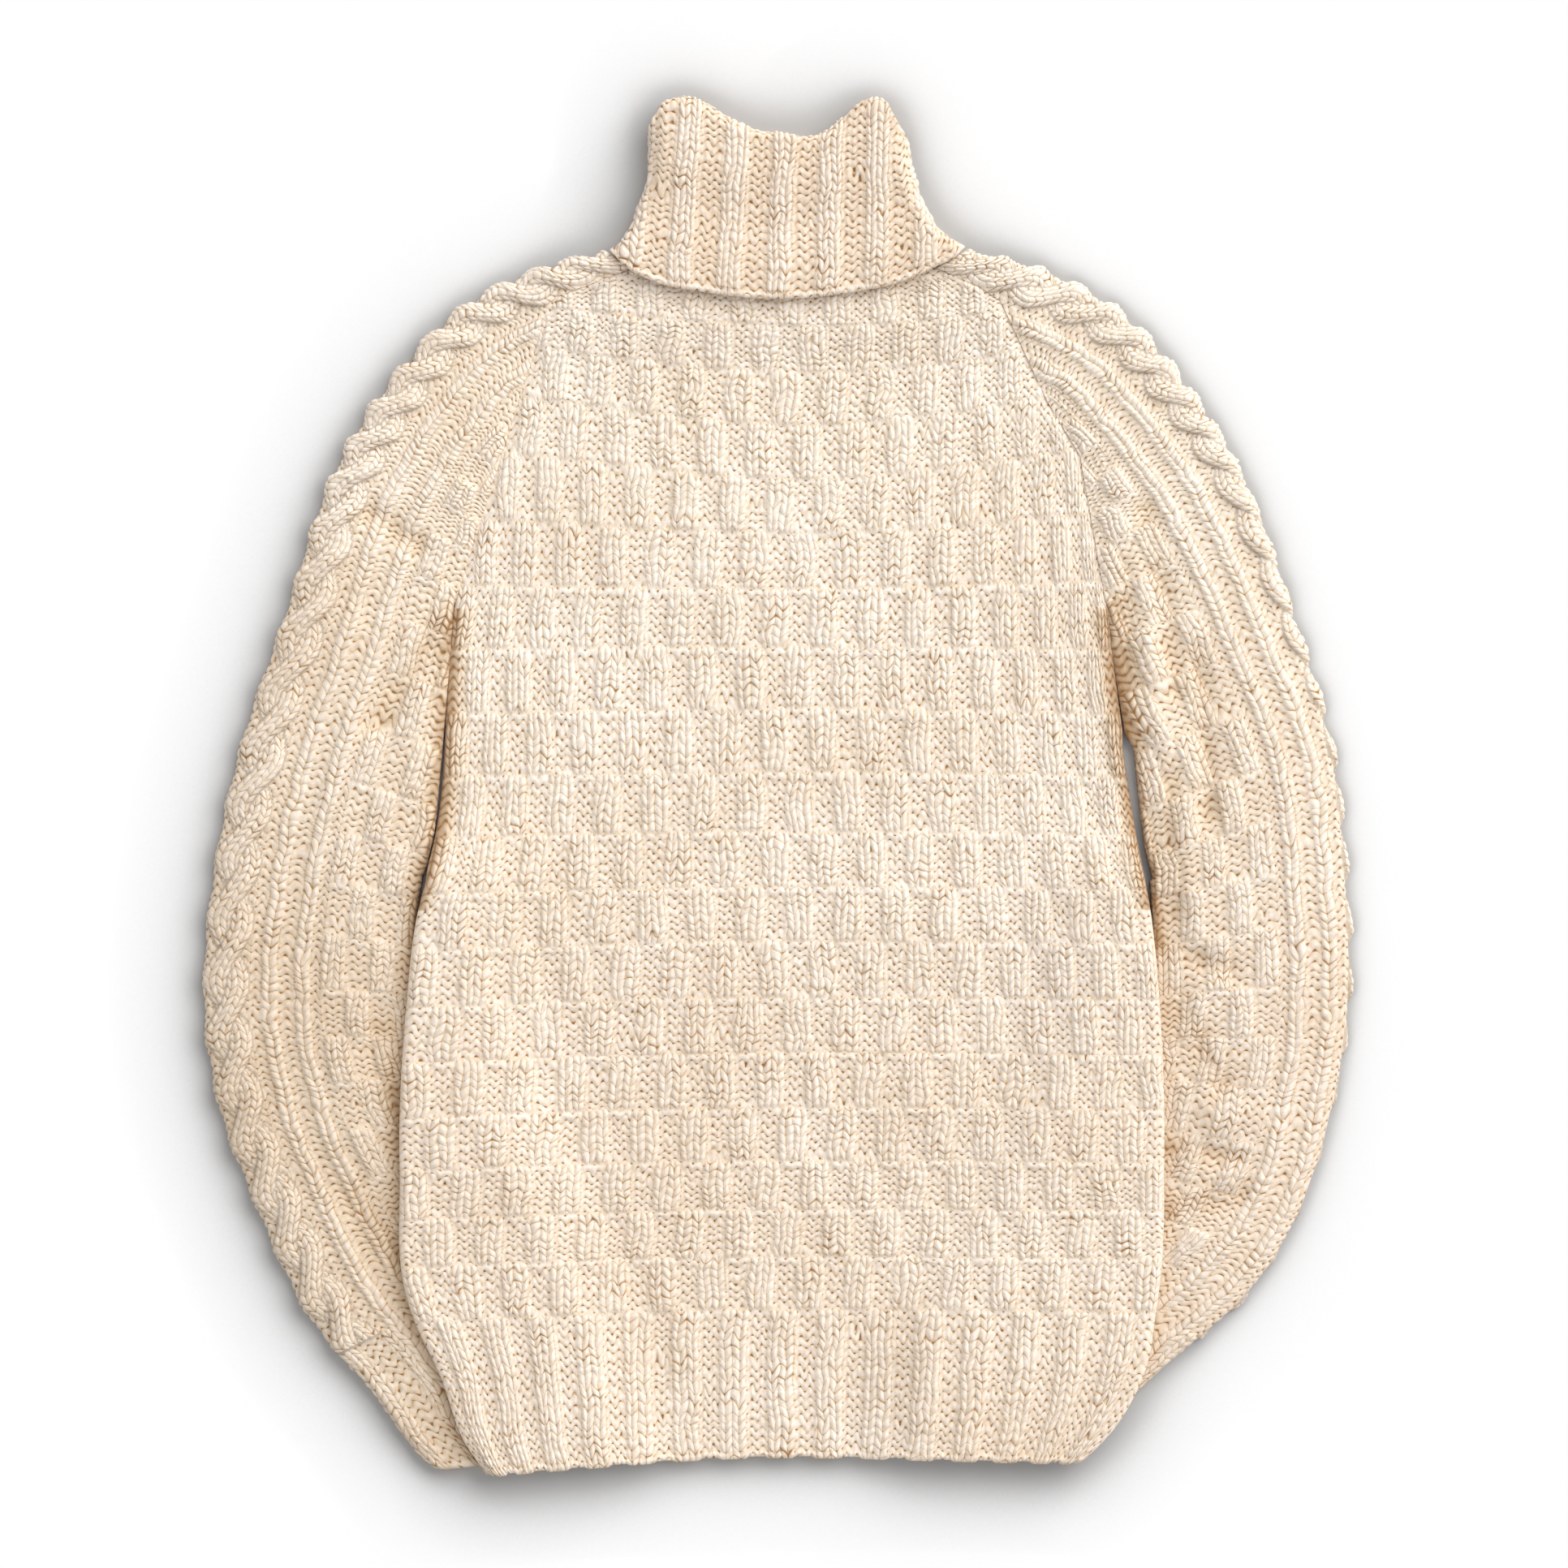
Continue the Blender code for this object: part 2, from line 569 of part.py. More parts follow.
def collar_point(column, station):
    """A point of the folded collar wall."""
    side, place, rib = column
    layer, up, inset, height, ribbed = station
    radius = (height - inset) / 2
    x, y = 0.0, 380.0
    for _ in range(12):
        front = side == "front"
        edges = COLLAR_RIM if layer == 0 else NECK
        base = flow(x, edges["x"], edges["front" if front else "back"])
        if side in ("left", "right") and place >= 0:
            both = [flow(x, edges["x"], edges[name]) for name in ("front", "back")]
            base = sum(both) / 2 if layer == 0 else both[place == 0]
        base = base + layer * NECK_GAP
        whole_left = flow(y, COLLAR_SIDES["y"], COLLAR_SIDES["left"])
        whole_right = flow(y, COLLAR_SIDES["y"], COLLAR_SIDES["right"])
        left, right = whole_left + inset, whole_right - inset
        if layer == 1:
            left = max(left + INNER_DRAW, NECK["x"][0] + INNER_END + inset)
            right = min(right - INNER_DRAW, NECK["x"][-1] - INNER_END - inset)
        share = (x - left) / (right - left)
        crest = flow(whole_left + share * (whole_right - whole_left), *COLLAR_TOP.values())
        y = base + (crest - base) * up
        if side in ("front", "back"):
            x = left + radius + (right - left - 2 * radius) * place
        elif side == "left":
            x = left + radius * (1 - np.cos(np.radians(place)))
        else:
            x = right - radius * (1 - np.cos(np.radians(place)))
    if side in ("front", "back"):
        z = height if side == "front" else inset
    else:
        z = inset + radius * (1 + np.sin(np.radians(place)))
    return x, y, z + RELIEF * rib * ribbed


# ---------------------------------------------------------------- solids

def skin(bm, columns, rows, place):
    """A grid whose vertex (i, j) stands at place(columns[i], rows[j]). Returns its open rims."""
    across, along = len(columns) - 1, len(rows) - 1
    grid = bmesh.ops.create_grid(bm, x_segments=across, y_segments=along, size=0.5)["verts"]
    i = np.array([round((v.co.x + 0.5) * across) for v in grid])
    j = np.array([round((v.co.y + 0.5) * along) for v in grid])
    points = np.array(place(np.array(columns)[i], np.array(rows, float)[j])).T * MM
    for vertex, point in zip(grid, points):
        vertex.co = point
    bmesh.ops.remove_doubles(bm, verts=grid, dist=MERGE * MM)
    grid = [v for v in grid if v.is_valid]
    faces = list({face for v in grid for face in v.link_faces})
    bmesh.ops.triangulate(bm, faces=faces, quad_method="FIXED")
    return open_rims(grid)


def open_rims(vertices):
    """The closed chains of vertices along the open edges of a skin."""
    rims = []
    left = {v for v in vertices if v.is_valid and any(e.is_boundary for e in v.link_edges)}
    while left:
        chain = [left.pop()]
        while True:
            steps = [e.other_vert(chain[-1]) for e in chain[-1].link_edges if e.is_boundary]
            ahead = [v for v in steps if v in left]
            if not ahead:
                break
            left.discard(ahead[0])
            chain.append(ahead[0])
        rims.append(chain)
    return rims


def turned(chain):
    """The direction in which a closed chain turns."""
    points = np.array([v.co[:] for v in chain])
    points = points - points.mean(axis=0)
    return np.cross(points, np.roll(points, -1, axis=0)).sum(axis=0)


def run_along(chain):
    """The distance along a chain to each of its vertices."""
    steps = [(b.co - a.co).length for a, b in zip(chain, chain[1:])]
    return np.concatenate(([0.0], np.cumsum(steps)))


def close_rims(bm, outer, inner):
    """Join two closed chains with the strip of triangles that has the shortest cross edges."""
    if np.dot(turned(outer), turned(inner)) < 0:
        inner = inner[::-1]
    a = np.array([v.co[:] for v in outer])
    b = np.array([v.co[:] for v in inner])
    apart = np.linalg.norm(a[:, None] - b[None], axis=2)
    i, j = np.unravel_index(apart.argmin(), apart.shape)
    outer, inner = outer[i:] + outer[:i + 1], inner[j:] + inner[:j + 1]
    apart = np.roll(apart, (-i, -j), axis=(0, 1))
    apart = np.pad(apart, ((0, 1), (0, 1)), mode="wrap")
    along_outer, along_inner = run_along(outer), run_along(inner)
    along_inner = along_inner * along_outer[-1] / along_inner[-1]
    apart = apart + 0.5 * np.abs(along_outer[:, None] - along_inner[None])
    total = np.full(apart.shape, np.inf)
    total[0, 0] = 0
    for i in range(len(outer)):
        for j in range(len(inner)):
            if i or j:
                before = min(total[i - 1, j] if i else np.inf, total[i, j - 1] if j else np.inf)
                total[i, j] = before + apart[i, j]
    i, j = len(outer) - 1, len(inner) - 1
    while i or j:
        if j == 0 or (i and total[i - 1, j] <= total[i, j - 1]):
            bm.faces.new((outer[i - 1], outer[i], inner[j]))
            i -= 1
        else:
            bm.faces.new((outer[i], inner[j], inner[j - 1]))
            j -= 1


def near(rim, rims):
    """The rim whose middle is nearest."""
    def middle(chain):
        return np.mean([v.co[:] for v in chain], axis=0)
    return min(rims, key=lambda other: np.linalg.norm(middle(other) - middle(rim)))


def solid(name, bm):
    """Turn a closed bmesh into a named object with its own yarn."""
    bmesh.ops.recalc_face_normals(bm, faces=bm.faces)
    mesh = bpy.data.meshes.new(name)
    bm.to_mesh(mesh)
    bm.free()
    colour, roughness = YARNS[name]
    yarn = bpy.data.materials.new(name + "_yarn")
    yarn.use_nodes = True
    shader = yarn.node_tree.nodes["Principled BSDF"]
    shader.inputs["Base Color"].default_value = (*colour, 1)
    shader.inputs["Roughness"].default_value = roughness
    shader.inputs["Metallic"].default_value = 0
    mesh.materials.append(yarn)
    piece = bpy.data.objects.new(name, mesh)
    bpy.context.scene.collection.objects.link(piece)


def wall(name, outer, inner):
    """A closed wall between an outer and an inner skin, each given as columns, rows and place."""
    bm = bmesh.new()
    outer_rims = skin(bm, *outer)
    inner_rims = skin(bm, *inner)
    for rim in outer_rims:
        close_rims(bm, rim, near(rim, inner_rims))
    solid(name, bm)


def front_columns():
    columns = [-HALF_STITCHES]
    for block in range(-(HALF_STITCHES // 2), HALF_STITCHES // 2 + 1):
        columns += [2 * block - 1 + BEVEL, 2 * block + 1 - BEVEL]
    return columns + [HALF_STITCHES]


def front_rows():
    rows = [0.0, 0.6, RIB_ROWS - 0.4]
    for course in range(BLOCKS_HIGH):
        start = RIB_ROWS + BLOCK_ROWS * course
        rows += [start + 0.4, start + BLOCK_ROWS - 0.4]
    return rows + [NECK_ROW]


def panel_rows():
    courses = [RIB_ROWS + BLOCK_ROWS * k for k in range(BLOCKS_HIGH)]
    return [0.0, RIB_ROWS / 2] + courses + [NECK_ROW]


def panel_columns():
    """Shares of a panel's width, closer together near its sides."""
    half = [0.0, 0.04, 0.085, 0.135, 0.19, 0.26, 0.36]
    return half + [0.5] + [1 - share for share in reversed(half)]


def make_front():
    inner = panel_face(WALL + GAP, "front", wavy=True)
    wall("front", (front_columns(), front_rows(), front_face),
         (panel_columns(), panel_rows(), inner))


def make_back():
    top, underside = panel_face(WALL, "back"), panel_face(0.0, "back")
    wall("back", (panel_columns(), panel_rows(), top),
         (panel_columns(), panel_rows(), underside))


def make_sleeve(side):
    columns, place = sleeve_skin(side)
    lining_columns, lining_place = sleeve_lining(side)
    wall("sleeve_" + side, (columns, sleeve_rows(), place),
         (lining_columns, sleeve_rows(), lining_place))


def make_collar():
    columns = collar_columns()
    stations = list(zip(*COLLAR_WALL.values()))

    def place(column, row):
        return np.array([collar_point(columns[int(i)], stations[int(j)])
                         for i, j in zip(column, row)]).T

    bm = bmesh.new()
    skin(bm, range(len(columns)), range(len(stations)), place)
    solid("collar", bm)


def main():
    for old in list(bpy.data.objects):
        bpy.data.objects.remove(old)
    make_front()
    make_back()
    make_sleeve("left")
    make_sleeve("right")
    make_collar()


main()
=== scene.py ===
"""Aran sweater laid flat, knitted stitch by stitch over its CAD frame.

A Blender add-on in form, and run as a script: each piece of the sweater has an operator, and
the panel in the sidebar lists them. Lengths in the tables are millimetres.
"""
import functools

import bmesh
import bpy
import numpy as np
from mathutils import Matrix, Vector


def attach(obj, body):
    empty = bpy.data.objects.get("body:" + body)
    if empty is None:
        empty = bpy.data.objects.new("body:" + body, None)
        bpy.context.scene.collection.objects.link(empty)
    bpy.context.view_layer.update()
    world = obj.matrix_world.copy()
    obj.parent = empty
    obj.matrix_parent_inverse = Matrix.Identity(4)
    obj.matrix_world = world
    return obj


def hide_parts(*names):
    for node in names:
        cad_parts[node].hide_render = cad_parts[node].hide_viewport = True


bl_info = {
    "name": "Aran Sweater",
    "version": (1, 0, 0),
    "blender": (4, 5, 0),
    "location": "View3D > Sidebar > Sweater",
    "description": "Knits a chunky aran sweater with a folded rib collar, laid flat",
    "category": "Object",
}

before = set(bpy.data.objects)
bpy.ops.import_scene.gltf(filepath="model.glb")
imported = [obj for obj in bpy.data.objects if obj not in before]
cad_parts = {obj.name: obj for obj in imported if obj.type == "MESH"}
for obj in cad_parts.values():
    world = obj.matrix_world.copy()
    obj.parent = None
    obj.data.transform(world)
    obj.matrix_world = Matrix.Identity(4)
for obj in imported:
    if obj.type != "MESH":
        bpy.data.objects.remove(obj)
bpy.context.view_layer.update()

MM = 0.001

# Knitted wall
WALL = 4.0
GAP = 0.3
SEAM_GAP = 0.7
SIDE_GAP = 2.0
SEAM_DROP = 0.8
FOLD_RADIUS = 4.2

# Body knitting
STITCH = 7.55
HALF_STITCHES = 31
RIB_ROWS = 15
BLOCK_ROWS = 6
NECK_ROW = 133
YOKE_ROW = 96          # from here up, the purl bar lies at the start of each course
TUCK_REACH = 64.0
SAG_WIDTH = 230.0

# Lying over the sleeves and the collar
SLEEVE_STEP = 9.6
STEP_REACH = 25.0
STEP_RAMP = 60.0
CROSS_TOP = -6.0
CROSS_RUN = 60.0
UNDERARM = 114.0
SEAM_START = UNDERARM - 4.0
SLEEVE_END = 165
CUFF_START = SLEEVE_END - 15

# Where the sleeves meet the body: below OPEN_AT their edges part
OPEN_AT = {"left": -60.0, "right": 22.0}
OPEN_RUN = 15.0
SEAM_CLOSE = 0.45      # how far each edge reaches into a raglan seam
BODY_CLOSE = 1.5       # how far the body's side reaches into the gap
SLEEVE_CLOSE = 2.0     # how far a sleeve reaches into it, less than WIDEST_GAP
WIDEST_GAP = 6.5
BESIDE_Y = -75.0       # above this the body lies beside the sleeves, below it over them

# Edges and corners of the hem and of the cuffs
EDGE_ROWS = 0.9        # rows that the cast-on rope takes up
EDGE_RELIEF = 3.0
CORNER_ROWS = 3.0
HEM_CORNER = 5.0
HEM_SAG = 1.3
CUFF_CORNER = 11.0
CUFF_CORNER_ROWS = 7.0


def table(names, *rows):
    """A short table: one array for each named column."""
    return dict(zip(names.split(), np.array(rows, float).T))


# Rows of body stitches, from the cast-on edge up to the neck
BODY = table(
    "row y mid left right sag_left sag_right",
    (0, -411, 2, -179, 188, 16, 5), (4, -388, 2, -194, 209, 13, 4), (9, -357, 2, -206, 226, 8, 2),
    (15, -320.5, 4, -223, 233, 7, 1), (33, -229, 9, -232, 238, 6, 1),
    (51, -128.5, 13, -228, 235, 6, 2), (60, -77, 14, -222, 230, 5, 2),
    (69, -26.5, 14, -209, 221, 4, 3), (87, 87, 14, -200, 205, 2, 2),
    (96, 140, 16, -195, 199, -6, -12), (105, 190.5, 18, -192, 194, -22, -28),
    (117, 255, 22, -186, 190, -26, -34), (133, 330, 26, -180, 184, 0, 0))

# Where the front and back end against the sleeves: side edges, then raglan seams
ARMHOLE_LEFT = table(
    "y x",
    (-57, -217), (-26, -210), (30, -205), (87, -200), (114, -198), (290, -142), (303, -134),
    (320, -88))
ARMHOLE_RIGHT = table(
    "y x",
    (-57, 229), (-26, 221), (30, 214), (87, 205), (114, 202), (205, 186), (238, 166), (300, 137),
    (308, 125), (321, 96))

# Neck edges of the front and back panels
NECK = table(
    "x front back",
    (-88, 320, 320), (-75, 316, 324), (-44, 311, 326), (0, 308, 326), (46, 311, 326),
    (81, 317, 326), (96, 321, 321))

# Sleeves: the outer fold and the inner edge of rows of stitches, from the neck to the cuff.
# roll is how far the cable has turned over the fold; puff is the air inside the tube.
SLEEVE_COLUMNS = "row out_x out_y in_x in_y roll puff"
SLEEVES = {
    "left": table(
        SLEEVE_COLUMNS,
        (0, -103.5, 329, -12, 267, 9, 0), (9, -140, 319, -88, 236, 9, 0.8),
        (22, -190, 296, -124, 208, 8, 1.6), (38, -240, 246, -156, 174, 5, 2.2),
        (54, -276, 186, -176, 140, 3, 2.6), (70, -303, 106, -203, 72, 1, 3),
        (84, -330, 26, -210, -12, 0, 3.2), (98, -347, -54, -221, -78, 0, 3.2),
        (109, -353, -124, -222, -132, 0, 3.2), (121, -344, -194, -215, -180, 0, 3),
        (132, -322, -254, -198, -228, 0, 2.6), (147, -282, -334, -172, -280, 0, 2),
        (156, -246, -375, -158, -334, 0, 1.2), (165, -217, -421, -136, -411, 0, 0.6)),
    "right": table(
        SLEEVE_COLUMNS,
        (0, 117, 331, 22, 276, 2, 0), (12, 163, 318.5, 113, 234, 3, 0.8),
        (23, 206, 296, 137, 210, 5, 1.6), (39, 251, 246, 168, 177, 9, 2.2),
        (55, 286, 186, 189, 139, 14, 2.6), (70, 315, 106, 213, 70, 21, 3),
        (84, 340, 26, 223, -14, 27, 3.2), (98, 349.5, -54, 230, -78, 28, 3.2),
        (109, 351.5, -124, 226, -133, 29, 3.2), (121, 342, -194, 216, -182, 31, 3),
        (131, 324, -254, 200, -228, 32, 2.6), (144, 286, -314, 178, -262, 30, 2),
        (154, 241, -354, 160, -290, 28, 1), (165, 192, -400, 128, -345, 26, 0.4)),
}

# Bands of a sleeve, measured from the middle of its cable, which lies CABLE_MIDDLE from the fold
CABLE_MIDDLE = 15.0
CABLE_HALF = 14.0
CABLE_ROWS = 6.0       # rows from one crossing of the strands to the next
CABLE_BULGE = 1.8      # how far its strands push out the fold
STRAND_HALF = 7.7      # half the width of a strand
STRAND_SWING = 6.6     # how far it swings to either side
NOWHERE = -9.0         # height where there is no strand
SLEEVE_RIBS = (20, 31, 40, 51)      # start and end of each
FIRST_BLOCK = 57.0
SLEEVE_BLOCK = 15.0

LINE = "x0 y0 x1 y1 width"
RAISED_LINE = LINE + " height"

# Creases pressed into the sleeves, from end to end
CREASES = {
    "left": table(
        LINE,
        (-209, 100, -246, 40, 9), (-244, -150, -230, -215, 9), (-262, -250, -236, -290, 10),
        (-250, 170, -222, 150, 8)),
    "right": table(
        LINE,
        (228, 172, 246, 60, 8), (212, 130, 224, 35, 8), (259, 85, 266, -15, 7),
        (241, 5, 244, -80, 8), (234, -95, 276, -112, 8), (246, -132, 272, -182, 9),
        (239, -219, 282, -228, 8), (234, -262, 283, -250, 10)),
}

# Soft folds that stand up in the sleeves, from end to end
FOLDS = {
    "left": table(RAISED_LINE, (-262, 95, -272, -90, 13, 1.8), (-276, -130, -262, -215, 14, 1.2)),
    "right": table(RAISED_LINE, (222, 95, 252, -62, 15, 3.4), (272, -200, 294, -203, 13, 2)),
}

# Low waves in the front
WAVES = table(
    RAISED_LINE,
    (60, -70, 200, -100, 30, 1.6), (-190, -60, -60, -90, 35, 1.2), (90, -190, 220, -240, 30, 1.6),
    (-200, -210, -90, -250, 30, 1.4), (-120, 150, -20, 120, 40, 1), (60, 180, 150, 120, 35, 1.2))

# Collar: its outline, its crest and its lower edge
COLLAR_SIDES = table(
    "y left right",
    (300, -108, 122), (322, -106, 120), (330, -102.5, 116.5), (334, -98.5, 113),
    (340, -92.5, 104.5), (348, -87, 96.5), (356, -85, 91), (363, -82, 87), (371, -79, 85),
    (385, -77.5, 81.5), (400, -77.5, 80), (426, -78.5, 79))
COLLAR_TOP = table(
    "x y",
    (-79, 406), (-74, 421), (-67, 425.5), (-57, 425.5), (-46, 422.5), (-30, 413), (-14, 406.5),
    (3, 404), (15, 402.5), (31, 405), (42, 413), (52, 422), (62, 425.5), (70, 422), (76, 410),
    (81, 398))
COLLAR_RIM = table(
    "x front back",
    (-103, 330, 331), (-92, 319.5, 327), (-79, 312.5, 322), (-44, 304.5, 318), (-4, 300.5, 316),
    (46, 304.5, 318), (81, 312.5, 322), (98, 320.5, 328), (109, 326, 330.5), (118, 333.5, 334))
RIB_WIDTH = 30.5       # from one rib to the next at the lower edge
RIB_TAPER = 1.7        # how much less that is at the crest
RIB_LEAN = 5.0         # how far to the right the ribs lean by then
COLLAR_ROW = 5.7
NECK_GAP = 1.2
NECK_STEP = WALL + GAP
NECK_STEP_START = 255.0
NECK_STEP_RUN = 35.0
NECK_STEP_HALF = 135.0
NECK_STEP_SIDE = 40.0
INNER_DRAW = 3.2
INNER_END = 4.0

# The collar's outer face from its lower edge to the crest, then the rest of its wall as layer,
# way up, inset and height
COLLAR_FACE = table("up height", (0, 19.6), (0.16, 20.2), (0.45, 17.9), (0.7, 20), (0.93, 19.4))
COLLAR_WALL = [
    *((1, up, 8.8, 9.4) for up in (0.93, 0.45, 0)),
    *((1, up, 4.6, 13.2) for up in (0, 0.45, 0.88)),
    (0, 0.95, 4.3, 13.6), (0, 0.88, 4, 14.8), (0, 0.70, 4, 16),
    (0, 0.45, 4, 13.9), (0, 0.16, 4, 16.2), (0, 0, 4, 15.6)]

# How finely the knitting is modelled
PER_STITCH = 8         # columns of vertices in a stitch of the body
PER_ROW = 4            # rows of vertices in a row of stitches
# The front's lengths, by their first and last rows
FRONT_PARTS = {"front_lower": (0, 45), "front_middle": (45, 90), "front_yoke": (90, NECK_ROW)}
YOKE_COLUMNS = 400
YOKE_BEND = 118        # the row above which the yoke's rows bend to the neck
BACK_COLUMNS = 124
UNDERSIDE = (0, 0.35, 0.7, 1.0)     # columns beneath a sleeve, as shares of the way in
COLLAR_ACROSS, COLLAR_BACK, COLLAR_UP, COLLAR_CREST = 224, 24, 84, 8
SEARCH_STEPS = 400     # in the search for the length of a sleeve's row
BAND_STEP = 1.25       # between columns of vertices on a sleeve
FIRST_BAND = -22.0
BANDS = {"left": 120, "right": 130}
EDGE_BANDS = 16.0      # the columns crowd together this close to a sleeve's inner edge
# Fine steps to a step of each plain inner face
FRONT_INNER, YOKE_INNER, BACK_INNER, SLEEVE_INNER = (31, 20), (25, 43), (4, 7), (3, 12)

# Stitch shapes, in stitches and rows
LEG_HALF = 0.26        # half the width of a knit leg
LEG_SLANT = 1.3        # rows by which the joint between two legs climbs in one stitch
PURL_WAVE = 0.25       # how far a purl row waves up and down
PURL_HALF = 0.46       # half its thickness
BAR_HALF = 0.45        # half the height of the purl bar along a knit block
UNEVEN = np.random.default_rng(7).normal(0, 1, (6, 199, 97)).clip(-2, 2)


def flow(at, xs, ys):
    """Read a smooth curve through the points (xs, ys)."""
    slopes = np.gradient(ys, xs)
    i = np.clip(np.searchsorted(xs, at) - 1, 0, len(xs) - 2)
    step = xs[i + 1] - xs[i]
    t = np.clip((at - xs[i]) / step, 0, 1)
    ends = (1 + 2 * t) * (1 - t) ** 2 * ys[i] + t ** 2 * (3 - 2 * t) * ys[i + 1]
    return ends + step * t * (1 - t) * ((1 - t) * slopes[i] - t * slopes[i + 1])


def read(rows, at, *names):
    """Smooth curves through columns of a table, read at places along its first column."""
    first = next(iter(rows.values()))
    return [flow(at, first, rows[name]) for name in names]


def where_met(start, end, beyond):
    """The last place on the way from start to end before beyond(place) comes true."""
    for _ in range(30):
        middle = (start + end) / 2
        past = beyond(middle)
        start, end = np.where(past, start, middle), np.where(past, middle, end)
    return start


def ease(t):
    """0 below 0, 1 above 1, and a smooth step between."""
    t = np.clip(t, 0, 1)
    return t * t * (3 - 2 * t)


def fade(distance, reach):
    """1 at no distance, and smoothly down to 0 at reach."""
    return 1 - ease(distance / reach)


def dome(off):
    """Height of a round cord, 0 to 1, at a share of its half width from its middle."""
    return np.sqrt(np.clip(1 - off ** 2, 0, 1))


def per_row(row, function):
    """Evaluate a function of the row once for each row, and spread its answers."""
    rows, back = np.unique(row, return_inverse=True)
    return [answer[back.ravel()] for answer in function(rows)]


def ridges(rows, x, y):
    """How near each point is to each line of a table, from 0 to 1, one row for each line."""
    near = []
    for x0, y0, x1, y1, width in zip(*(rows[name] for name in ("x0", "y0", "x1", "y1", "width"))):
        run = np.hypot(x1 - x0, y1 - y0)
        along = ((x - x0) * (x1 - x0) + (y - y0) * (y1 - y0)) / run
        off = ((x - x0) * (y1 - y0) - (y - y0) * (x1 - x0)) / run
        past = np.maximum(np.maximum(-along, along - run), 0)
        near.append(np.exp(-(off / width) ** 2 - (past / width) ** 2))
    return np.array(near)


def raised(rows, x, y):
    """Height at each point of all the folds or waves of a table."""
    return (ridges(rows, x, y) * rows["height"].reshape(-1, *[1] * np.ndim(x))).sum(axis=0)


# ---- stitches

def uneven(kind, column, row):
    """How far one stitch differs from the next, about -1 to 1."""
    return UNEVEN[kind, row.astype(int) % UNEVEN.shape[1], column.astype(int) % UNEVEN.shape[2]]


def drift(kind, u, v):
    """Unevenness that changes smoothly from one whole number to the next, about -1 to 1."""
    i, j = np.floor(u), np.floor(v)
    s, t = ease(u - i), ease(v - j)
    low = uneven(kind, i, j) * (1 - s) + uneven(kind, i + 1, j) * s
    high = uneven(kind, i, j + 1) * (1 - s) + uneven(kind, i + 1, j + 1) * s
    return low * (1 - t) + high * t


def knit_stitch(u, v):
    """Height of knit stitches, 0 to 1: in each two cords of legs, every leg set into the next."""
    across = np.abs(u - np.floor(u) - 0.5)
    climb = v - LEG_SLANT * (across - 0.25)
    leg, row = np.floor(2 * u), np.floor(climb)
    own = uneven(0, leg, row)
    cord = dome((across - 0.25) / LEG_HALF)
    past = climb - row
    joint = 1 - ease(np.minimum(past, 1 - past) / 0.3)
    slub = 0.5 + 0.25 * drift(1, u / 1.6, v / 2.4)
    return cord * (1 - slub * 0.95 * joint) * (1 + 0.17 * own) * (1.08 - 0.16 * past)


def purl_stitch(u, v):
    """Height of purl stitches, 0 to 1: rows of bumps that wave from stitch to stitch."""
    column = np.floor(u)
    turn = 2 * np.pi * (u - column - 0.5)
    wave = PURL_WAVE * np.cos(turn)
    row = np.floor(v - wave)
    half = PURL_HALF * (1 + 0.5 * np.sin(turn) ** 2) * (1 + 0.06 * uneven(2, column, row))
    high = dome((v - wave - row - 0.5) / half)
    return high * (0.8 + 0.2 * np.cos(2 * turn) + 0.06 * uneven(3, column, row))


def with_edge(u, from_edge, rise, painted_shade):
    """Rise and painted shade with the rope of a cast-on or cast-off edge, from_edge rows away."""
    lean = 0.5 + 0.5 * np.cos(2 * np.pi * (2 * u + 0.55 * from_edge))
    rope = dome((from_edge - 0.35) / 0.42) * (0.72 + 0.28 * lean)
    at_edge = from_edge < EDGE_ROWS
    rolled = np.maximum(rise * ease((from_edge - 0.3) / 0.6), EDGE_RELIEF * rope)
    # painted shade: the rope is darker on its flanks than on its crown
    return np.where(at_edge, rolled, rise), np.where(at_edge, 0.45 + 0.55 * rope, painted_shade)


def loosened(u, v):
    """The same place in knitting whose stitches are not all alike."""
    return (u + 0.13 * drift(4, u / 2.7, v / 3.1) + 0.07 * drift(2, u * 1.4, v / 1.3),
            v + 0.24 * drift(5, u / 3.3, v / 2.3) + 0.14 * drift(3, u * 1.7, v * 1.2))


def pattern(u, v, share, swell, dip, sizes):
    """Rise in mm of knitting that is knit where share is 1 and purl where it is 0."""
    yarn = sizes.yarn_relief / MM
    knit, purl = swell + yarn * knit_stitch(u, v), dip + 0.85 * yarn * purl_stitch(u, v)
    return share * knit + (1 - share) * purl


# ---- body

def row_height(row, x):
    """The y of a row of stitches at x: rows sag or rise away from the middle."""
    mid, level, sag_left, sag_right = read(BODY, row, "mid", "y", "sag_left", "sag_right")
    away = np.abs(x - mid) / SAG_WIDTH
    return level - np.where(x < mid, sag_left, sag_right) * away ** 1.5


def body_point(column, row):
    """Where a stitch of the body lies. The columns near a side are drawn in with its edge."""
    mid, left, right = read(BODY, row, "mid", "left", "right")
    first, last = mid - HALF_STITCHES * STITCH, mid + HALF_STITCHES * STITCH
    x = mid + STITCH * column
    from_left, from_right = x - first, last - x
    x = x + (left - first) * np.exp(-from_left / TUCK_REACH)
    x = x + (right - last) * np.exp(-from_right / TUCK_REACH)
    return x, row_height(row, x)


def armhole(y):
    """The x of both armhole lines at y."""
    return (np.interp(y, line["y"], line["x"]) for line in (ARMHOLE_LEFT, ARMHOLE_RIGHT))


def front_ends(row):
    """The columns at which a row of the front meets its raglan seams or sides."""
    def past(column):
        x, y = body_point(column, row)
        left, right = armhole(y)
        return (y > SEAM_START) & ((x < left) | (x > right))
    return [where_met(0 * row, end + 0 * row, past) for end in (-HALF_STITCHES, HALF_STITCHES)]


def sleeve_inner_edge(side, y):
    """The x of the hidden inner edge of a sleeve."""
    rows = SLEEVES[side]
    return np.interp(y, rows["in_y"][:5:-1], rows["in_x"][:5:-1])


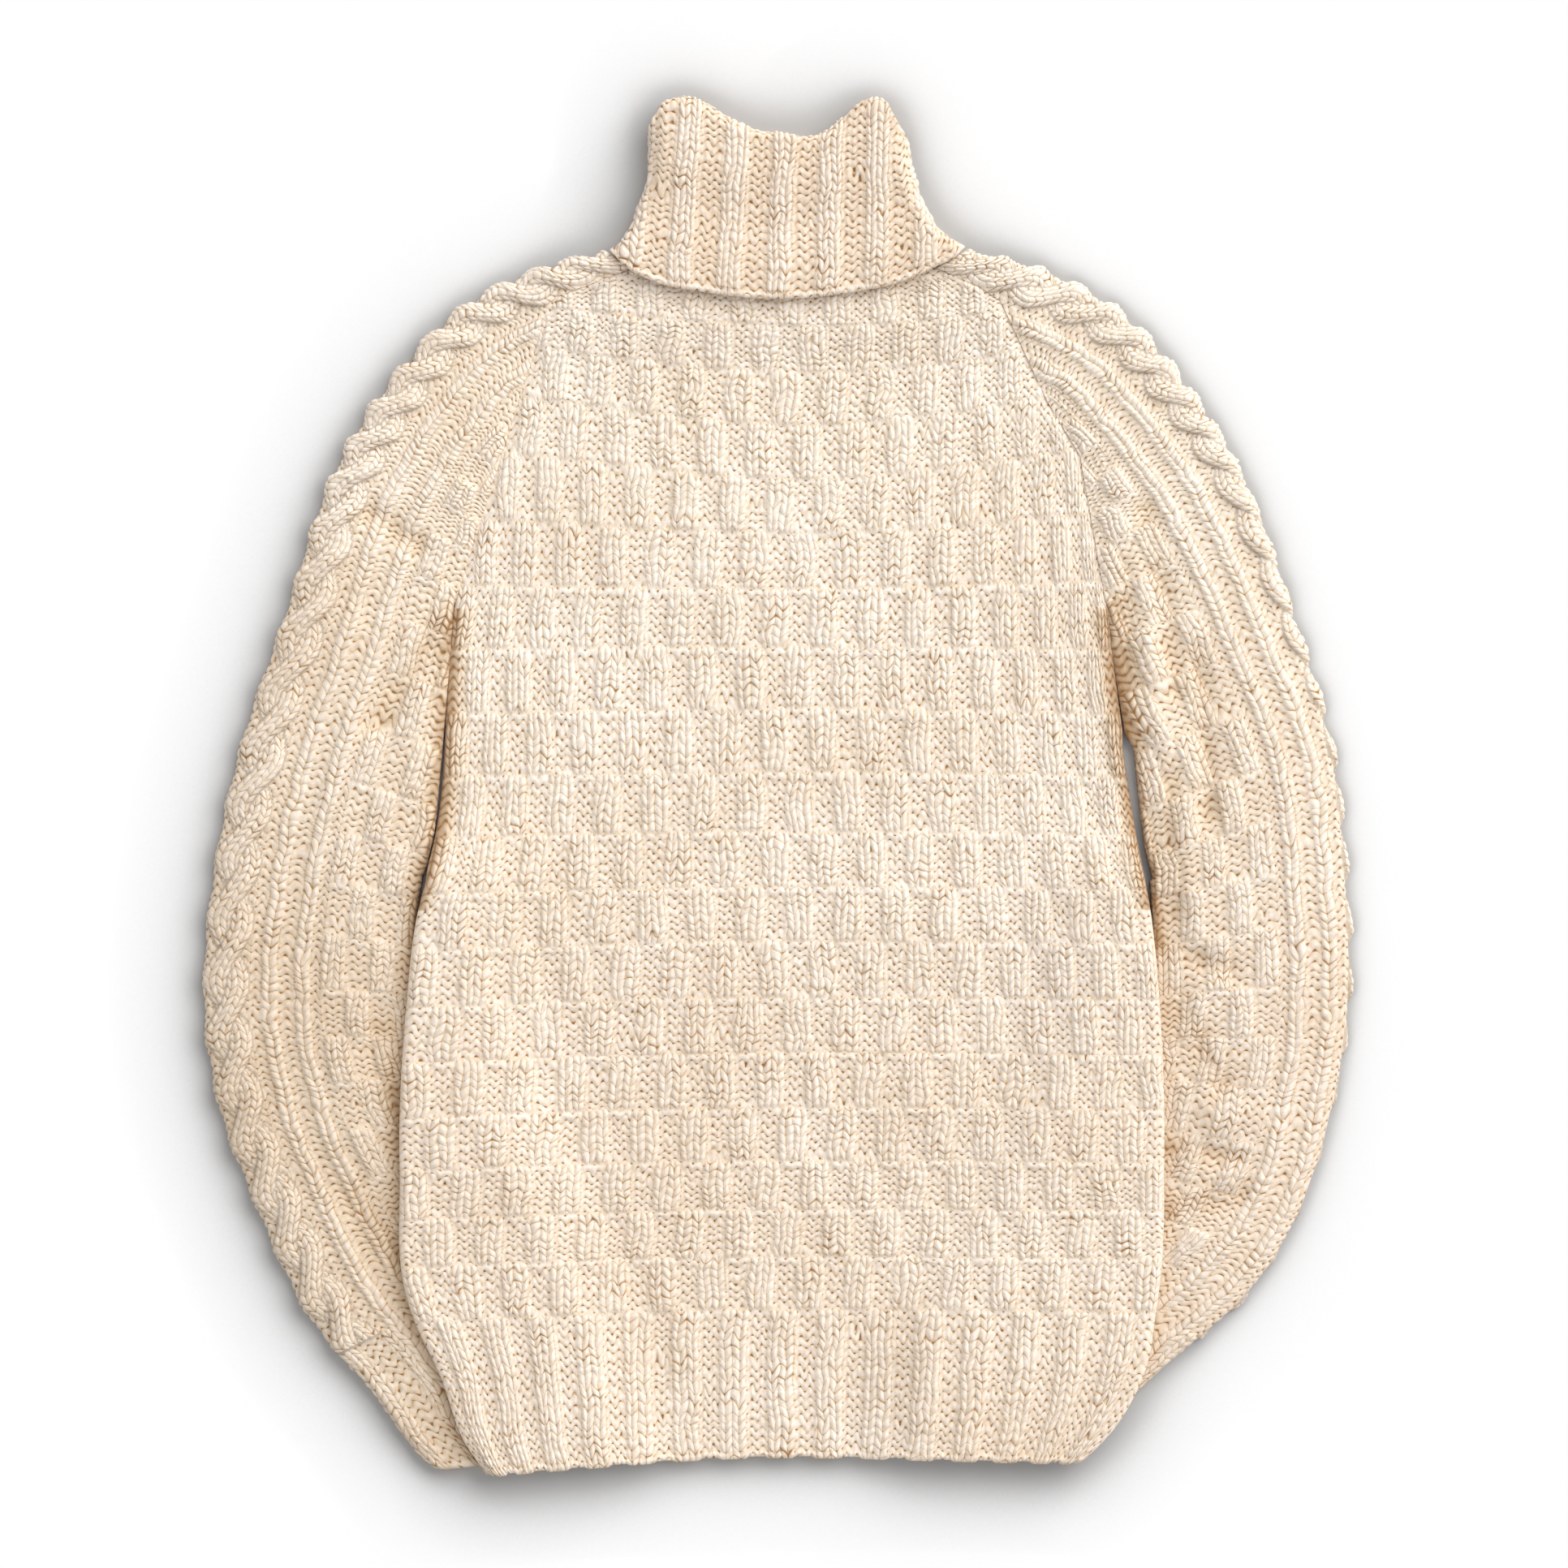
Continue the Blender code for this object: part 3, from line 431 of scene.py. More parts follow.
def neck_lift(x, y):
    """Height of the panels above the surface near the collar's back."""
    middle = (NECK["x"][0] + NECK["x"][-1]) / 2
    side = fade(np.abs(x - middle) - NECK_STEP_HALF, NECK_STEP_SIDE)
    return NECK_STEP * ease((y - NECK_STEP_START) / NECK_STEP_RUN) * side


def body_lift(x, y):
    """Height of the body's underside above the surface."""
    crossing = ease((CROSS_TOP - y) / CROSS_RUN)
    lift = neck_lift(x, y)
    for side, inward in (("left", 1), ("right", -1)):
        past = (x - sleeve_inner_edge(side, y)) * inward - STEP_REACH
        lift = lift + SLEEVE_STEP * crossing * fade(past, STEP_RAMP)
    return lift


def body_pattern(u, v, sizes):
    """The hem rib and the basket blocks above it: rise, loosened stitch and row, knit share,
    painted shade and sideways spread."""
    block = np.floor((u + 1) / 2)
    p = u - 2 * block
    in_hem = v < RIB_ROWS
    course = np.floor((v - RIB_ROWS) / BLOCK_ROWS)
    q = np.where(in_hem, 0, (v - RIB_ROWS) % BLOCK_ROWS / (BLOCK_ROWS / 2) - 1)
    sign = np.where(np.where(in_hem, block % 2 == 0, (block + course) % 2 == 1), 1.0, -1.0)
    to_row_edge = np.where(in_hem, RIB_ROWS - v, (1 - np.abs(q)) * BLOCK_ROWS / 2)
    share = 0.5 + 0.5 * sign * ease((1 - np.abs(p)) / 0.2) * ease(to_row_edge / 0.35)
    relief = sizes.block_relief / MM * (1 + 0.2 * uneven(4, block, course + 50))
    swell = relief * (1 - 0.45 * np.abs(p) ** 3) * (1 - 0.35 * q ** 4)
    yoke = v > YOKE_ROW
    bar = np.exp(-(((v - RIB_ROWS) % BLOCK_ROWS - np.where(yoke, 0.5, 5.5)) / BAR_HALF) ** 2)
    bar = bar * (1 - p ** 4) * np.where(yoke, 0.6, 1) * ~in_hem
    u, v = loosened(u, v)
    rise = pattern(u, v, share, swell, 0.75 * relief * bar, sizes)
    # painted shade: darker in the purl recesses and on the flanks of the knit blocks
    painted_shade = 0.78 + 0.22 * np.maximum(share * swell / relief, bar)
    spread = p * sizes.block_spread * sign * (1 - q ** 4)
    return rise, u, v, share, painted_shade, spread


def front_place(sizes, across, row, rim):
    """The place of a point of the front: across is 0 at its left edge and 1 at its right."""
    first, last = per_row(row, front_ends)
    column = first + (last - first) * across
    rise, u, v, share, painted_shade, spread = body_pattern(column, row, sizes)
    (left, _), (x, _), (right, _) = (body_point(end, row) for end in (first, column, last))
    from_side = np.minimum(x - left, right - x)
    spread = spread * ease(from_side / 8) * ~rim
    x, y = body_point(column + spread, row)

    seam = y > SEAM_START
    open_at = np.where(column < 0, OPEN_AT["left"], OPEN_AT["right"])
    close = np.where(seam, SEAM_CLOSE, BODY_CLOSE * ease((y - open_at) / OPEN_RUN))
    to_hem = np.clip(1 - row / CORNER_ROWS, 0, 1)
    corner = HEM_CORNER * (1 - dome(to_hem)) * np.exp(-from_side / 12)
    x = x + (close * fade(from_side, 5) - corner) * np.sign(column)
    y = y - HEM_SAG * share * to_hem

    # painted shade: the body's side darkens where it lies beside a sleeve, standing in for the
    # shade in the gap between them
    gap_shade = np.where(y > BESIDE_Y, 1.0, 0) * ~seam
    painted_shade = painted_shade * (1 - 0.7 * gap_shade * fade(from_side, 15))
    rise = rise * (0.35 + 0.65 * ease(from_side / 5))
    rise, painted_shade = with_edge(column, row, rise, painted_shade)
    fall = dome(np.clip(1 - from_side / 5, 0, 1))
    drop = np.where(seam, SEAM_DROP * fade(from_side, 7), 2.6 * (1 - fall))
    under = body_lift(x, y) + WALL + GAP + raised(WAVES, x, y)
    z = under + WALL - sizes.valley / MM + rise - drop
    return x, y, np.where(rim, under, z), u, v, share, painted_shade


def neck_rows(across):
    """The row at which the front meets its neck line, for each share of its width."""
    def over(row):
        first, last = front_ends(row)
        x, y = body_point(first + (last - first) * across, row)
        return y > read(NECK, x, "front")[0]
    return where_met(90.0 + 0 * across, NECK_ROW + 0 * across, over)


def back_point(across, row):
    """A point of the back: across runs from its left edge, 0, to its right edge, 1."""
    x = np.zeros_like(across)
    for _ in range(6):
        y = np.minimum(row_height(row, x), read(NECK, x, "back")[0])
        left, right = (np.where(y > SEAM_START, cut, low)
                       for cut, low in zip(armhole(y), read(BODY, row, "left", "right")))
        x = left + (right - left) * across
    return x, y


# ---- sleeves

def sleeve_run(side, row):
    """A row of sleeve stitches: outer end, direction, length and whether its edge is open."""
    out_x, out_y, in_x, in_y = read(SLEEVES[side], row, "out_x", "out_y", "in_x", "in_y")
    whole = np.hypot(in_x - out_x, in_y - out_y)
    dir_x, dir_y = (in_x - out_x) / whole, (in_y - out_y) / whole
    steps = np.linspace(0, 1, SEARCH_STEPS).reshape(-1, 1)
    x, y = out_x + dir_x * whole * steps, out_y + dir_y * whole * steps
    left, right = armhole(y)
    gap = np.where(y > UNDERARM, SEAM_GAP, SIDE_GAP)
    beyond = x - left + gap if side == "left" else right + gap - x
    beyond = np.where(y > ARMHOLE_LEFT["y"][0], beyond, -1)
    crosses = (beyond > 0).any(axis=0)
    k = np.maximum((beyond > 0).argmax(axis=0), 1)
    here, before = (np.take_along_axis(beyond, at[None], 0)[0] for at in (k, k - 1))
    reached = (k - here / np.maximum(here - before, 1e-9)) / (SEARCH_STEPS - 1)
    length = np.where(crosses, whole * reached, whole)
    is_open = out_y + dir_y * length > UNDERARM
    return out_x, out_y, dir_x, dir_y, length, is_open


def body_cover(side, x, y):
    """Distance outside the edge of the body that lies over the sleeve; negative under it."""
    edge_y = row_height(BODY["row"], BODY[side])
    edge = flow(y, edge_y, BODY[side])
    past = edge - x if side == "left" else x - edge
    return past + 4 * np.maximum(y - CROSS_TOP + CROSS_RUN, 0)


def sleeve_swell(side, row, depth, length, x, y):
    """The air inside a sleeve, with its folds, less creases, edges and what the body covers."""
    [puff] = read(SLEEVES[side], row, "puff")
    creased = 1 - ridges(CREASES[side], x, y).max(axis=0)
    inside = ease(depth / 28) * ease((length - depth) / 22)
    shown = inside * ease((body_cover(side, x, y) - 9) / 20)
    return (puff * creased + raised(FOLDS[side], x, y)) * shown


def cable_pattern(band, row, sizes):
    """Rise, stitch, row, knit share and painted shade of the rope cable: two strands that cross
    over in turn."""
    turn = np.pi * row / CABLE_ROWS
    high = np.full_like(band, NOWHERE)
    u, v, painted_shade = np.zeros_like(band), -row, np.zeros_like(band)
    relief = sizes.cable_relief / MM
    for strand in (-1, 1):
        middle = strand * STRAND_SWING * np.cos(turn)
        over = strand * np.sin(turn)
        off = (band - middle) / STRAND_HALF
        body = dome(off)
        own_u, own_v = off + 4 + 2 * strand, -1.05 * row
        stitches = sizes.yarn_relief / MM * knit_stitch(own_u, own_v)
        rise = relief * (0.45 + 0.55 * over) + 1.4 * body + stitches
        rise = np.where(np.abs(off) < 1, rise * body ** 0.5, NOWHERE)
        upper = rise > high
        u, v = np.where(upper, own_u, u), np.where(upper, own_v, v)
        # painted shade: darker towards each strand's edges, and 0.3 between the strands
        painted_shade = np.where(upper, 0.25 + 0.75 * body ** 0.7, painted_shade)
        high = np.maximum(high, rise)
    return np.maximum(high, 0), u, v, 1, np.where(high < 0, 0.3, painted_shade)


def sleeve_pattern(band, row, sizes):
    """Cable, two ribs with purl beside them, basket blocks and cuff: rise, loosened stitch and
    row, knit share and painted shade."""
    cuff = row > CUFF_START
    relief = sizes.block_relief / MM
    stops = [CABLE_HALF - 1 - 5 * STITCH, CABLE_HALF - 1, *SLEEVE_RIBS,
             FIRST_BLOCK, FIRST_BLOCK + 10 * SLEEVE_BLOCK]
    u = np.interp(band, stops, [-5, 0, 1, 2, 3, 4, 5, 25])
    rib = np.where(cuff, np.floor((u + 0.1) / 2) % 2 == 0, (np.floor(u) == 1) | (np.floor(u) == 3))
    half = np.where(cuff, 1.0, 0.5)
    off = np.where(cuff, np.abs((u + 0.1) % 2 - 1), np.abs(u % 1 * 2 - 1))
    share = 0.5 + np.where(rib, 0.5, -0.5) * ease((1 - off) * half / 0.15)
    swell = relief * (0.9 - 0.5 * off ** 2)
    share = np.where((u < 0) & ~cuff, 0, share)

    block = np.floor((u - 5) / 2)
    p = u - 6 - 2 * block
    course = np.floor(row / BLOCK_ROWS)
    q = row % BLOCK_ROWS / (BLOCK_ROWS / 2) - 1
    in_blocks = (u > 5) & ~cuff
    sign = np.where((block + course) % 2 == 1, 1.0, -1.0)
    block_share = 0.5 + 0.5 * sign * ease((1 - np.abs(p)) / 0.2) * ease((1 - np.abs(q)) * 8)
    share = np.where(in_blocks, block_share, share)
    height = 1.25 + 0.25 * uneven(4, block, course)
    height = height * (1 - 0.5 * np.abs(p) ** 3) * (1 - 0.35 * q ** 4)
    swell = np.where(in_blocks, relief * height, swell)
    bar = np.exp(-((row % BLOCK_ROWS - 0.5) / BAR_HALF) ** 2) * (1 - p ** 4) * in_blocks

    u, v = loosened(u, -row)
    rise = pattern(u, v, share, swell, 0.75 * relief * bar, sizes)
    # painted shade: darker in the purl recesses and on the flanks of the blocks
    painted_shade = 0.68 + 0.32 * np.clip(np.maximum(share * swell / relief, bar), 0, 1)
    cable = cable_pattern(band, row, sizes)
    upper = (np.abs(band) < CABLE_HALF) & ~cuff & (cable[0] > rise)
    return [np.where(upper, *pair) for pair in zip(cable, (rise, u, v, share, painted_shade))]


def sleeve_place(side, sizes, column, row, rim):
    """The place of a point of the flattened sleeve: column counts from its inner edge, over the
    top, round the outer fold and back beneath."""
    top = BANDS[side]
    quarter = np.pi / 2 * FOLD_RADIUS
    out_x, out_y, dir_x, dir_y, length, is_open = per_row(row, lambda r: sleeve_run(side, r))
    [roll] = read(SLEEVES[side], row, "roll")

    def moved(x, y, inward):
        return x + dir_x * inward, y + dir_y * inward

    # Round the outer fold: arc is the way along the cloth, depth the way in from the outside
    offset = CABLE_MIDDLE - roll + quarter - FOLD_RADIUS
    arc = FIRST_BAND + BAND_STEP * (top - np.minimum(column, top)) + offset
    limit = length - FOLD_RADIUS + quarter - EDGE_BANDS
    furthest = FIRST_BAND + BAND_STEP * top + offset
    arc = np.where(arc > limit, limit + EDGE_BANDS * (arc - limit) / (furthest - limit), arc)
    turn = np.clip(arc / FOLD_RADIUS, -np.pi / 2, np.pi / 2)
    depth = FOLD_RADIUS * (1 - np.cos(turn)) + np.maximum(np.abs(arc) - quarter, 0)
    depth = depth + (length - depth) * np.interp(column - top, range(4), UNDERSIDE)
    depth = np.minimum(depth, length)
    from_edge = length - depth
    beneath = column > top
    arc, turn = np.where(beneath, -99, arc), np.where(beneath, -np.pi / 2, turn)
    closing = np.clip((depth - length + FOLD_RADIUS) / FOLD_RADIUS, 0, 1) * ~is_open
    curl = dome(closing)
    z = np.where(beneath, 0, FOLD_RADIUS * (1 + np.sin(turn)))
    z = FOLD_RADIUS + (z - FOLD_RADIUS) * curl
    x, y = moved(out_x, out_y, depth)
    strand = np.cos(np.pi * row / CABLE_ROWS) ** 2 * (row < CUFF_START)
    bulge = CABLE_BULGE * (strand - 0.4) * fade(depth, 20) * (1 - roll / 40)
    x, y = moved(x, y, -bulge * ~rim)

    # The knitting on it
    on_top = ease(arc / 6)
    swell = sleeve_swell(side, row, depth, length, x, y) * on_top
    shown = ease((body_cover(side, x, y) - 4) / 8) * ease((arc + 12) / 8)
    rise, u, v, share, painted_shade = sleeve_pattern(arc - offset, row, sizes)
    rise, painted_shade = with_edge(u, SLEEVE_END - row, rise, painted_shade)
    if side == "right":
        rise = rise * (1 - 0.3 * ease(-arc / 6))
    seam = np.where(is_open, 1, curl) * (0.4 + 0.6 * ease(from_edge / 5))
    rise = (rise - sizes.valley / MM) * shown * seam
    drop = SEAM_DROP * fade(from_edge, 7) * is_open * on_top

    # The inner edge reaches towards the body, and painted shade darkens it beside the body and in
    # the creases
    end_x, end_y = moved(out_x, out_y, length)
    left, right = armhole(end_y)
    gap = (left - end_x if side == "left" else end_x - right) - SIDE_GAP + SLEEVE_CLOSE
    gap = np.where(end_y > ARMHOLE_LEFT["y"][0], gap, 0)
    gap = np.clip(gap, SLEEVE_CLOSE, WIDEST_GAP) - SLEEVE_CLOSE - 0.1
    reach = SLEEVE_CLOSE * fade(from_edge, 7) + gap * fade(from_edge, 30)
    reach = np.where(is_open, SEAM_CLOSE * fade(from_edge, 7),
                     reach * ease((y - OPEN_AT[side]) / OPEN_RUN))
    # painted shade: darker beside the body's edge and along the creases
    gap_shade = np.where(is_open, 0, ease((y + 120) / 30)) * fade(from_edge, 12)
    painted_shade = painted_shade * (1 - 0.6 * gap_shade) * (1 - 0.35 * ridges(CREASES[side], x, y).max(axis=0))
    x, y = moved(x, y, reach - rise * np.cos(turn))
    z = np.maximum(z + rise * np.sin(turn) + swell - drop, 0)

    # The plain inner face
    start, end = WALL + 0.4, length - np.where(is_open, 0, WALL)
    inner = np.clip(depth, start, end)
    inner_x, inner_y = moved(out_x, out_y, inner)
    over = 2 * FOLD_RADIUS - WALL + sleeve_swell(side, row, inner, length, inner_x, inner_y)
    folded = (inner <= start) | ((inner >= end) & ~is_open)
    inner_z = np.where(folded, FOLD_RADIUS, np.where(arc > 0, over, WALL))
    x, y = np.where(rim, inner_x, x), np.where(rim, inner_y, y)
    z = np.where(rim, inner_z, z) + neck_lift(x, y)

    last_rows = np.clip(1 - (SLEEVE_END - row) / CUFF_CORNER_ROWS, 0, 1)
    corner = CUFF_CORNER * (1 - dome(last_rows))
    x, y = moved(x, y, corner * (1 - np.where(rim, inner, depth) / length) ** 2)
    # painted shade: darker where the body covers or nears the sleeve
    return x, y, z, u, v, share, painted_shade * (0.7 + 0.3 * shown)


# ---- collar

def collar_place(sizes, side, along, layer, up, inset, height, fine, arc, roll):
    """The place of a point of the folded collar. A column is a side of the flattened tube, which
    is front, right, back or left, and a place along it; a station is a layer, the way up to the
    crest, an inset and a height, whether it is fine, and how far it has gone round the crest."""
    side, fine = side.astype(int), fine > 0.5
    radius = (height - inset) / 2
    angle = np.radians(along)
    bend = radius * (1 - np.cos(angle))
    turned = ease((np.choose(side, (90, along, -90, along)) + 90) / 180)
    x, y = np.zeros_like(up), np.full_like(up, 380.0)
    for _ in range(12):
        (rim_front, rim_back), (neck_front, neck_back) = (
            read(rows, x, "front", "back") for rows in (COLLAR_RIM, NECK))
        rim = rim_back + (rim_front - rim_back) * turned
        neck = neck_back + (neck_front - neck_back) * turned + NECK_GAP
        base = rim + (neck - rim) * layer
        whole_left, whole_right = read(COLLAR_SIDES, y, "left", "right")
        left, right = whole_left + inset, whole_right - inset
        inner_left = np.maximum(left + INNER_DRAW, NECK["x"][0] + INNER_END + inset)
        inner_right = np.minimum(right - INNER_DRAW, NECK["x"][-1] - INNER_END - inset)
        left, right = left + (inner_left - left) * layer, right + (inner_right - right) * layer
        share = (x - left) / (right - left)
        crest = flow(whole_left + share * (whole_right - whole_left), *COLLAR_TOP.values())
        y = base + (crest - base) * up
        flat = left + radius + (right - left - 2 * radius) * along
        x = np.choose(side, (flat, right - bend, flat, left + bend))
    arch = inset + radius * (1 + np.sin(angle))
    z = np.choose(side, (height, arch, inset, arch))

    round_side = radius * np.radians(90 - along)
    unrolled = np.choose(side, (x, right - radius + round_side, x, left + radius - round_side))
    u = (unrolled - RIB_LEAN * up) / (RIB_WIDTH - RIB_TAPER * up) * 4
    v = ((crest - base) * np.minimum(up, COLLAR_FACE["up"][-1]) + arc) / COLLAR_ROW
    from_edge = v
    p = u - 4 * np.floor((u + 1) / 4)
    knit = p < 1
    off = np.abs(p - np.where(knit, 0, 2))
    share = 0.5 + np.where(knit, 0.5, -0.5) * ease((1 - off) / 0.2)
    relief = sizes.block_relief / MM
    swell = 1.1 * relief * (1 - 0.5 * off ** 3) * (1 - 0.6 * np.sin(roll))
    u, v = loosened(u, v)
    rise = pattern(u, v, share, swell, 0, sizes)
    # painted shade: darker in the purl ribs, and an even 0.7 where the wall is not knitted fine
    painted_shade = 0.60 + 0.38 * share * swell / relief
    rise, painted_shade = with_edge(u, from_edge, rise, painted_shade)
    rise = np.where(fine & (side != 2), rise - sizes.valley / MM, 0)
    turn = np.where(side == 0, np.pi / 2, angle)
    outward = np.choose(side, (0, 1, 0, -1)) * np.cos(turn)
    over = np.cos(roll)
    return (x + rise * outward * over, y + (rise - 1.5) * np.sin(roll) * fine,
            np.maximum(z + rise * np.sin(turn) * over, 0), u, v, share,
            np.where(fine, painted_shade, 0.7))


# ---- meshes

def skin(bm, columns, rows, place, step=(1, 1), plain=False):
    """Add a grid whose vertex (i, j) stands at place(columns[i], rows[j]).

    With a step, the grid is coarse inside and has every vertex along its border. A fine grid's
    outermost ring lies on the border of the plain inner face.
    """
    across, along = len(columns) - 1, len(rows) - 1
    grid = bmesh.new()
    bmesh.ops.create_grid(
        grid, x_segments=across // step[0], y_segments=along // step[1], size=0.5)
    for axis, count in enumerate(step):
        if count > 1:
            border = [e for e in grid.edges if e.is_boundary
                      and abs(e.verts[0].co[axis] - e.verts[1].co[axis]) > 1e-6]
            bmesh.ops.subdivide_edges(grid, edges=border, cuts=count - 1)
    mesh = bpy.data.meshes.new("skin")
    grid.to_mesh(mesh)
    grid.free()
    co = np.empty(len(mesh.vertices) * 3)
    mesh.vertices.foreach_get("co", co)
    co = co.reshape(-1, 3)
    i = np.rint((co[:, 0] + 0.5) * across).astype(int)
    j = np.rint((co[:, 1] + 0.5) * along).astype(int)
    rim = np.ones(len(i), bool) if plain else (i == 0) | (i == across) | (j == 0) | (j == along)
    x, y, z, u, v, share, painted_shade = place(np.array(columns, float)[i], np.array(rows, float)[j], rim)
    mesh.vertices.foreach_set("co", (np.stack((x, y, z), axis=1) * MM).ravel())
    knitting = mesh.attributes.new("knitting", "FLOAT_VECTOR", "POINT")
    knitting.data.foreach_set("vector", np.stack((u, v, share), axis=1).ravel())
    # painted shade per vertex: darkening painted into the wool's colour where recesses, creases
    # and gaps lie in shade
    for name, values in (("painted_shade", painted_shade), ("row", np.array(rows, float)[j])):
        mesh.attributes.new(name, "FLOAT", "POINT").data.foreach_set("value", values)
    bm.from_mesh(mesh)
    bpy.data.meshes.remove(mesh)


def ringed(values):
    """The values with the first and last given twice, for the ring round a fine grid."""
    return [values[0], *values, values[-1]]


def wall(bm, columns, rows, place, inner_step):
    """A closed wall: a fine outer face and a plain inner one, joined along their border."""
    skin(bm, ringed(columns), ringed(rows), place)
    skin(bm, columns, rows, place, step=inner_step, plain=True)


def put(name, data):
    """Put a new object in the scene."""
    made = bpy.data.objects.new(name, data)
    bpy.context.scene.collection.objects.link(made)
    return made


def woollen(name, bm, node, sharp_rows=()):
    """Finish a closed piece: merge, face outward, dress in its wool and put it in the frame."""
    bmesh.ops.remove_doubles(bm, verts=bm.verts, dist=0.02 * MM)
    bmesh.ops.recalc_face_normals(bm, faces=bm.faces)
    layer = bm.verts.layers.float["row"]
    for face in bm.faces:
        face.smooth = True
    for row in sharp_rows:
        at = {v for v in bm.verts if abs(v[layer] - row) < 1e-4}
        for edge in bm.edges:
            if edge.verts[0] in at and edge.verts[1] in at:
                edge.smooth = False
    mesh = bpy.data.meshes.new(name)
    bm.to_mesh(mesh)
    bm.free()
    mesh.materials.append(bpy.data.materials.get(node + "_wool") or wool(node))
    piece = put(name, mesh)
    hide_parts(node)
    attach(piece, "root")
    return piece


# ---- shader nodes

def feed(tree, node, inputs):
    """Feed a node's inputs, by name or number, with sockets or plain values."""
    for name, value in inputs.items():
        if isinstance(value, bpy.types.NodeSocket):
            tree.links.new(value, node.inputs[name])
        else:
            node.inputs[name].default_value = value
    return node


def add(tree, kind, inputs=None, **settings):
    """Add a shader node, set it and feed it."""
    node = tree.nodes.new("ShaderNode" + kind)
    for name, value in settings.items():
        setattr(node, name, value)
    return feed(tree, node, inputs or {})


def sums(tree, kind, *values):
    """The output of a Math node."""
    return add(tree, "Math", dict(enumerate(values)), operation=kind).outputs[0]


def noise(tree, at, scale, detail):
    return add(tree, "TexNoise", {"Vector": at, "Scale": scale, "Detail": detail}).outputs["Fac"]


def ramp(tree, fac, stops):
    """Colours read along a ramp of stops, each a place and its colour."""
    node = add(tree, "ValToRGB", {"Fac": fac})
    elements = node.color_ramp.elements
    for k, (at, colour) in enumerate(stops):
        stop = elements[k] if k < 2 else elements.new(at)
        stop.position, stop.color = at, (*colour, 1)
    return node.outputs["Color"]


def multiplied(tree, colour, other, strength=1.0):
    """The product of two colours, or a part of the way to it."""
    return add(tree, "Mix", {"Factor": strength, "A": colour, "B": other},
               data_type="RGBA", blend_type="MULTIPLY").outputs["Result"]


def stitch_height(tree, u, v, share, slub, bridge):
    """The height, 0 to 1, of the stitches at column u and row v: the cords of legs of
    knit_stitch where share is 1 and the bumps of purl_stitch where it is 0. Joints are deepest
    where slub is 0, and fibres fill the crevices up to bridge."""
    calc = functools.partial(sums, tree)

    def rounded(off):
        return calc("SQRT", calc("MAXIMUM", calc("SUBTRACT", 1, calc("MULTIPLY", off, off)), 0))

    within = calc("SUBTRACT", calc("FRACT", u), 0.5)
    across = calc("SUBTRACT", calc("ABSOLUTE", within), 0.25)
    cord = rounded(calc("DIVIDE", across, LEG_HALF))
    past = calc("FRACT", calc("SUBTRACT", v, calc("MULTIPLY", across, LEG_SLANT)))
    from_joint = calc("SUBTRACT", 0.5, calc("ABSOLUTE", calc("SUBTRACT", past, 0.5)))
    joint = calc("MINIMUM", calc("MULTIPLY_ADD", from_joint, 3.4, slub), 1)
    knit = calc("MAXIMUM", calc("MULTIPLY", cord, joint), bridge)

    turn = calc("MULTIPLY", within, 2 * np.pi)
    wave = calc("MULTIPLY", calc("COSINE", turn), PURL_WAVE)
    off = calc("SUBTRACT", calc("FRACT", calc("SUBTRACT", v, wave)), 0.5)
    steep = calc("POWER", calc("SINE", turn), 2)
    half = calc("MULTIPLY_ADD", steep, 0.3 * PURL_HALF, 0.94 * PURL_HALF)
    purl = calc("MAXIMUM", rounded(calc("DIVIDE", off, half)), bridge)
    return add(tree, "Mix", {"Factor": share, "A": purl, "B": knit}).outputs["Result"]


# ---- wool

# Tones of the wool at the shoulders and at the hem, and where they lie, in metres. The darker
# tone at the hem is partly painted shade, most on the left sleeve, which lies in the body's shade
TONES_AND_SHADE = {
    "front": ((1.0, 1.0, 1.0), (0.94, 0.915, 0.895)),
    "back": ((0.95, 0.93, 0.90), (0.92, 0.88, 0.85)),
    "sleeve_left": ((0.97, 0.955, 0.94), (0.83, 0.785, 0.73)),
    "sleeve_right": ((1.0, 1.0, 1.0), (0.92, 0.885, 0.86)),
    "collar": ((0.96, 0.93, 0.915), (0.96, 0.93, 0.915)),
}
TONE_LEVELS = {"From Min": -0.2, "From Max": 0.2}

# Clouds and flecks in the wool: scale, detail, darkest tone and strength
MOTTLES = ((9, 3, (0.93, 0.90, 0.86), 1.0), (260, 4, (0.84, 0.79, 0.72), 0.8))
SLUB_SCALE, FIBRE_SCALE, FUZZ_SCALE = 70, 330, 900


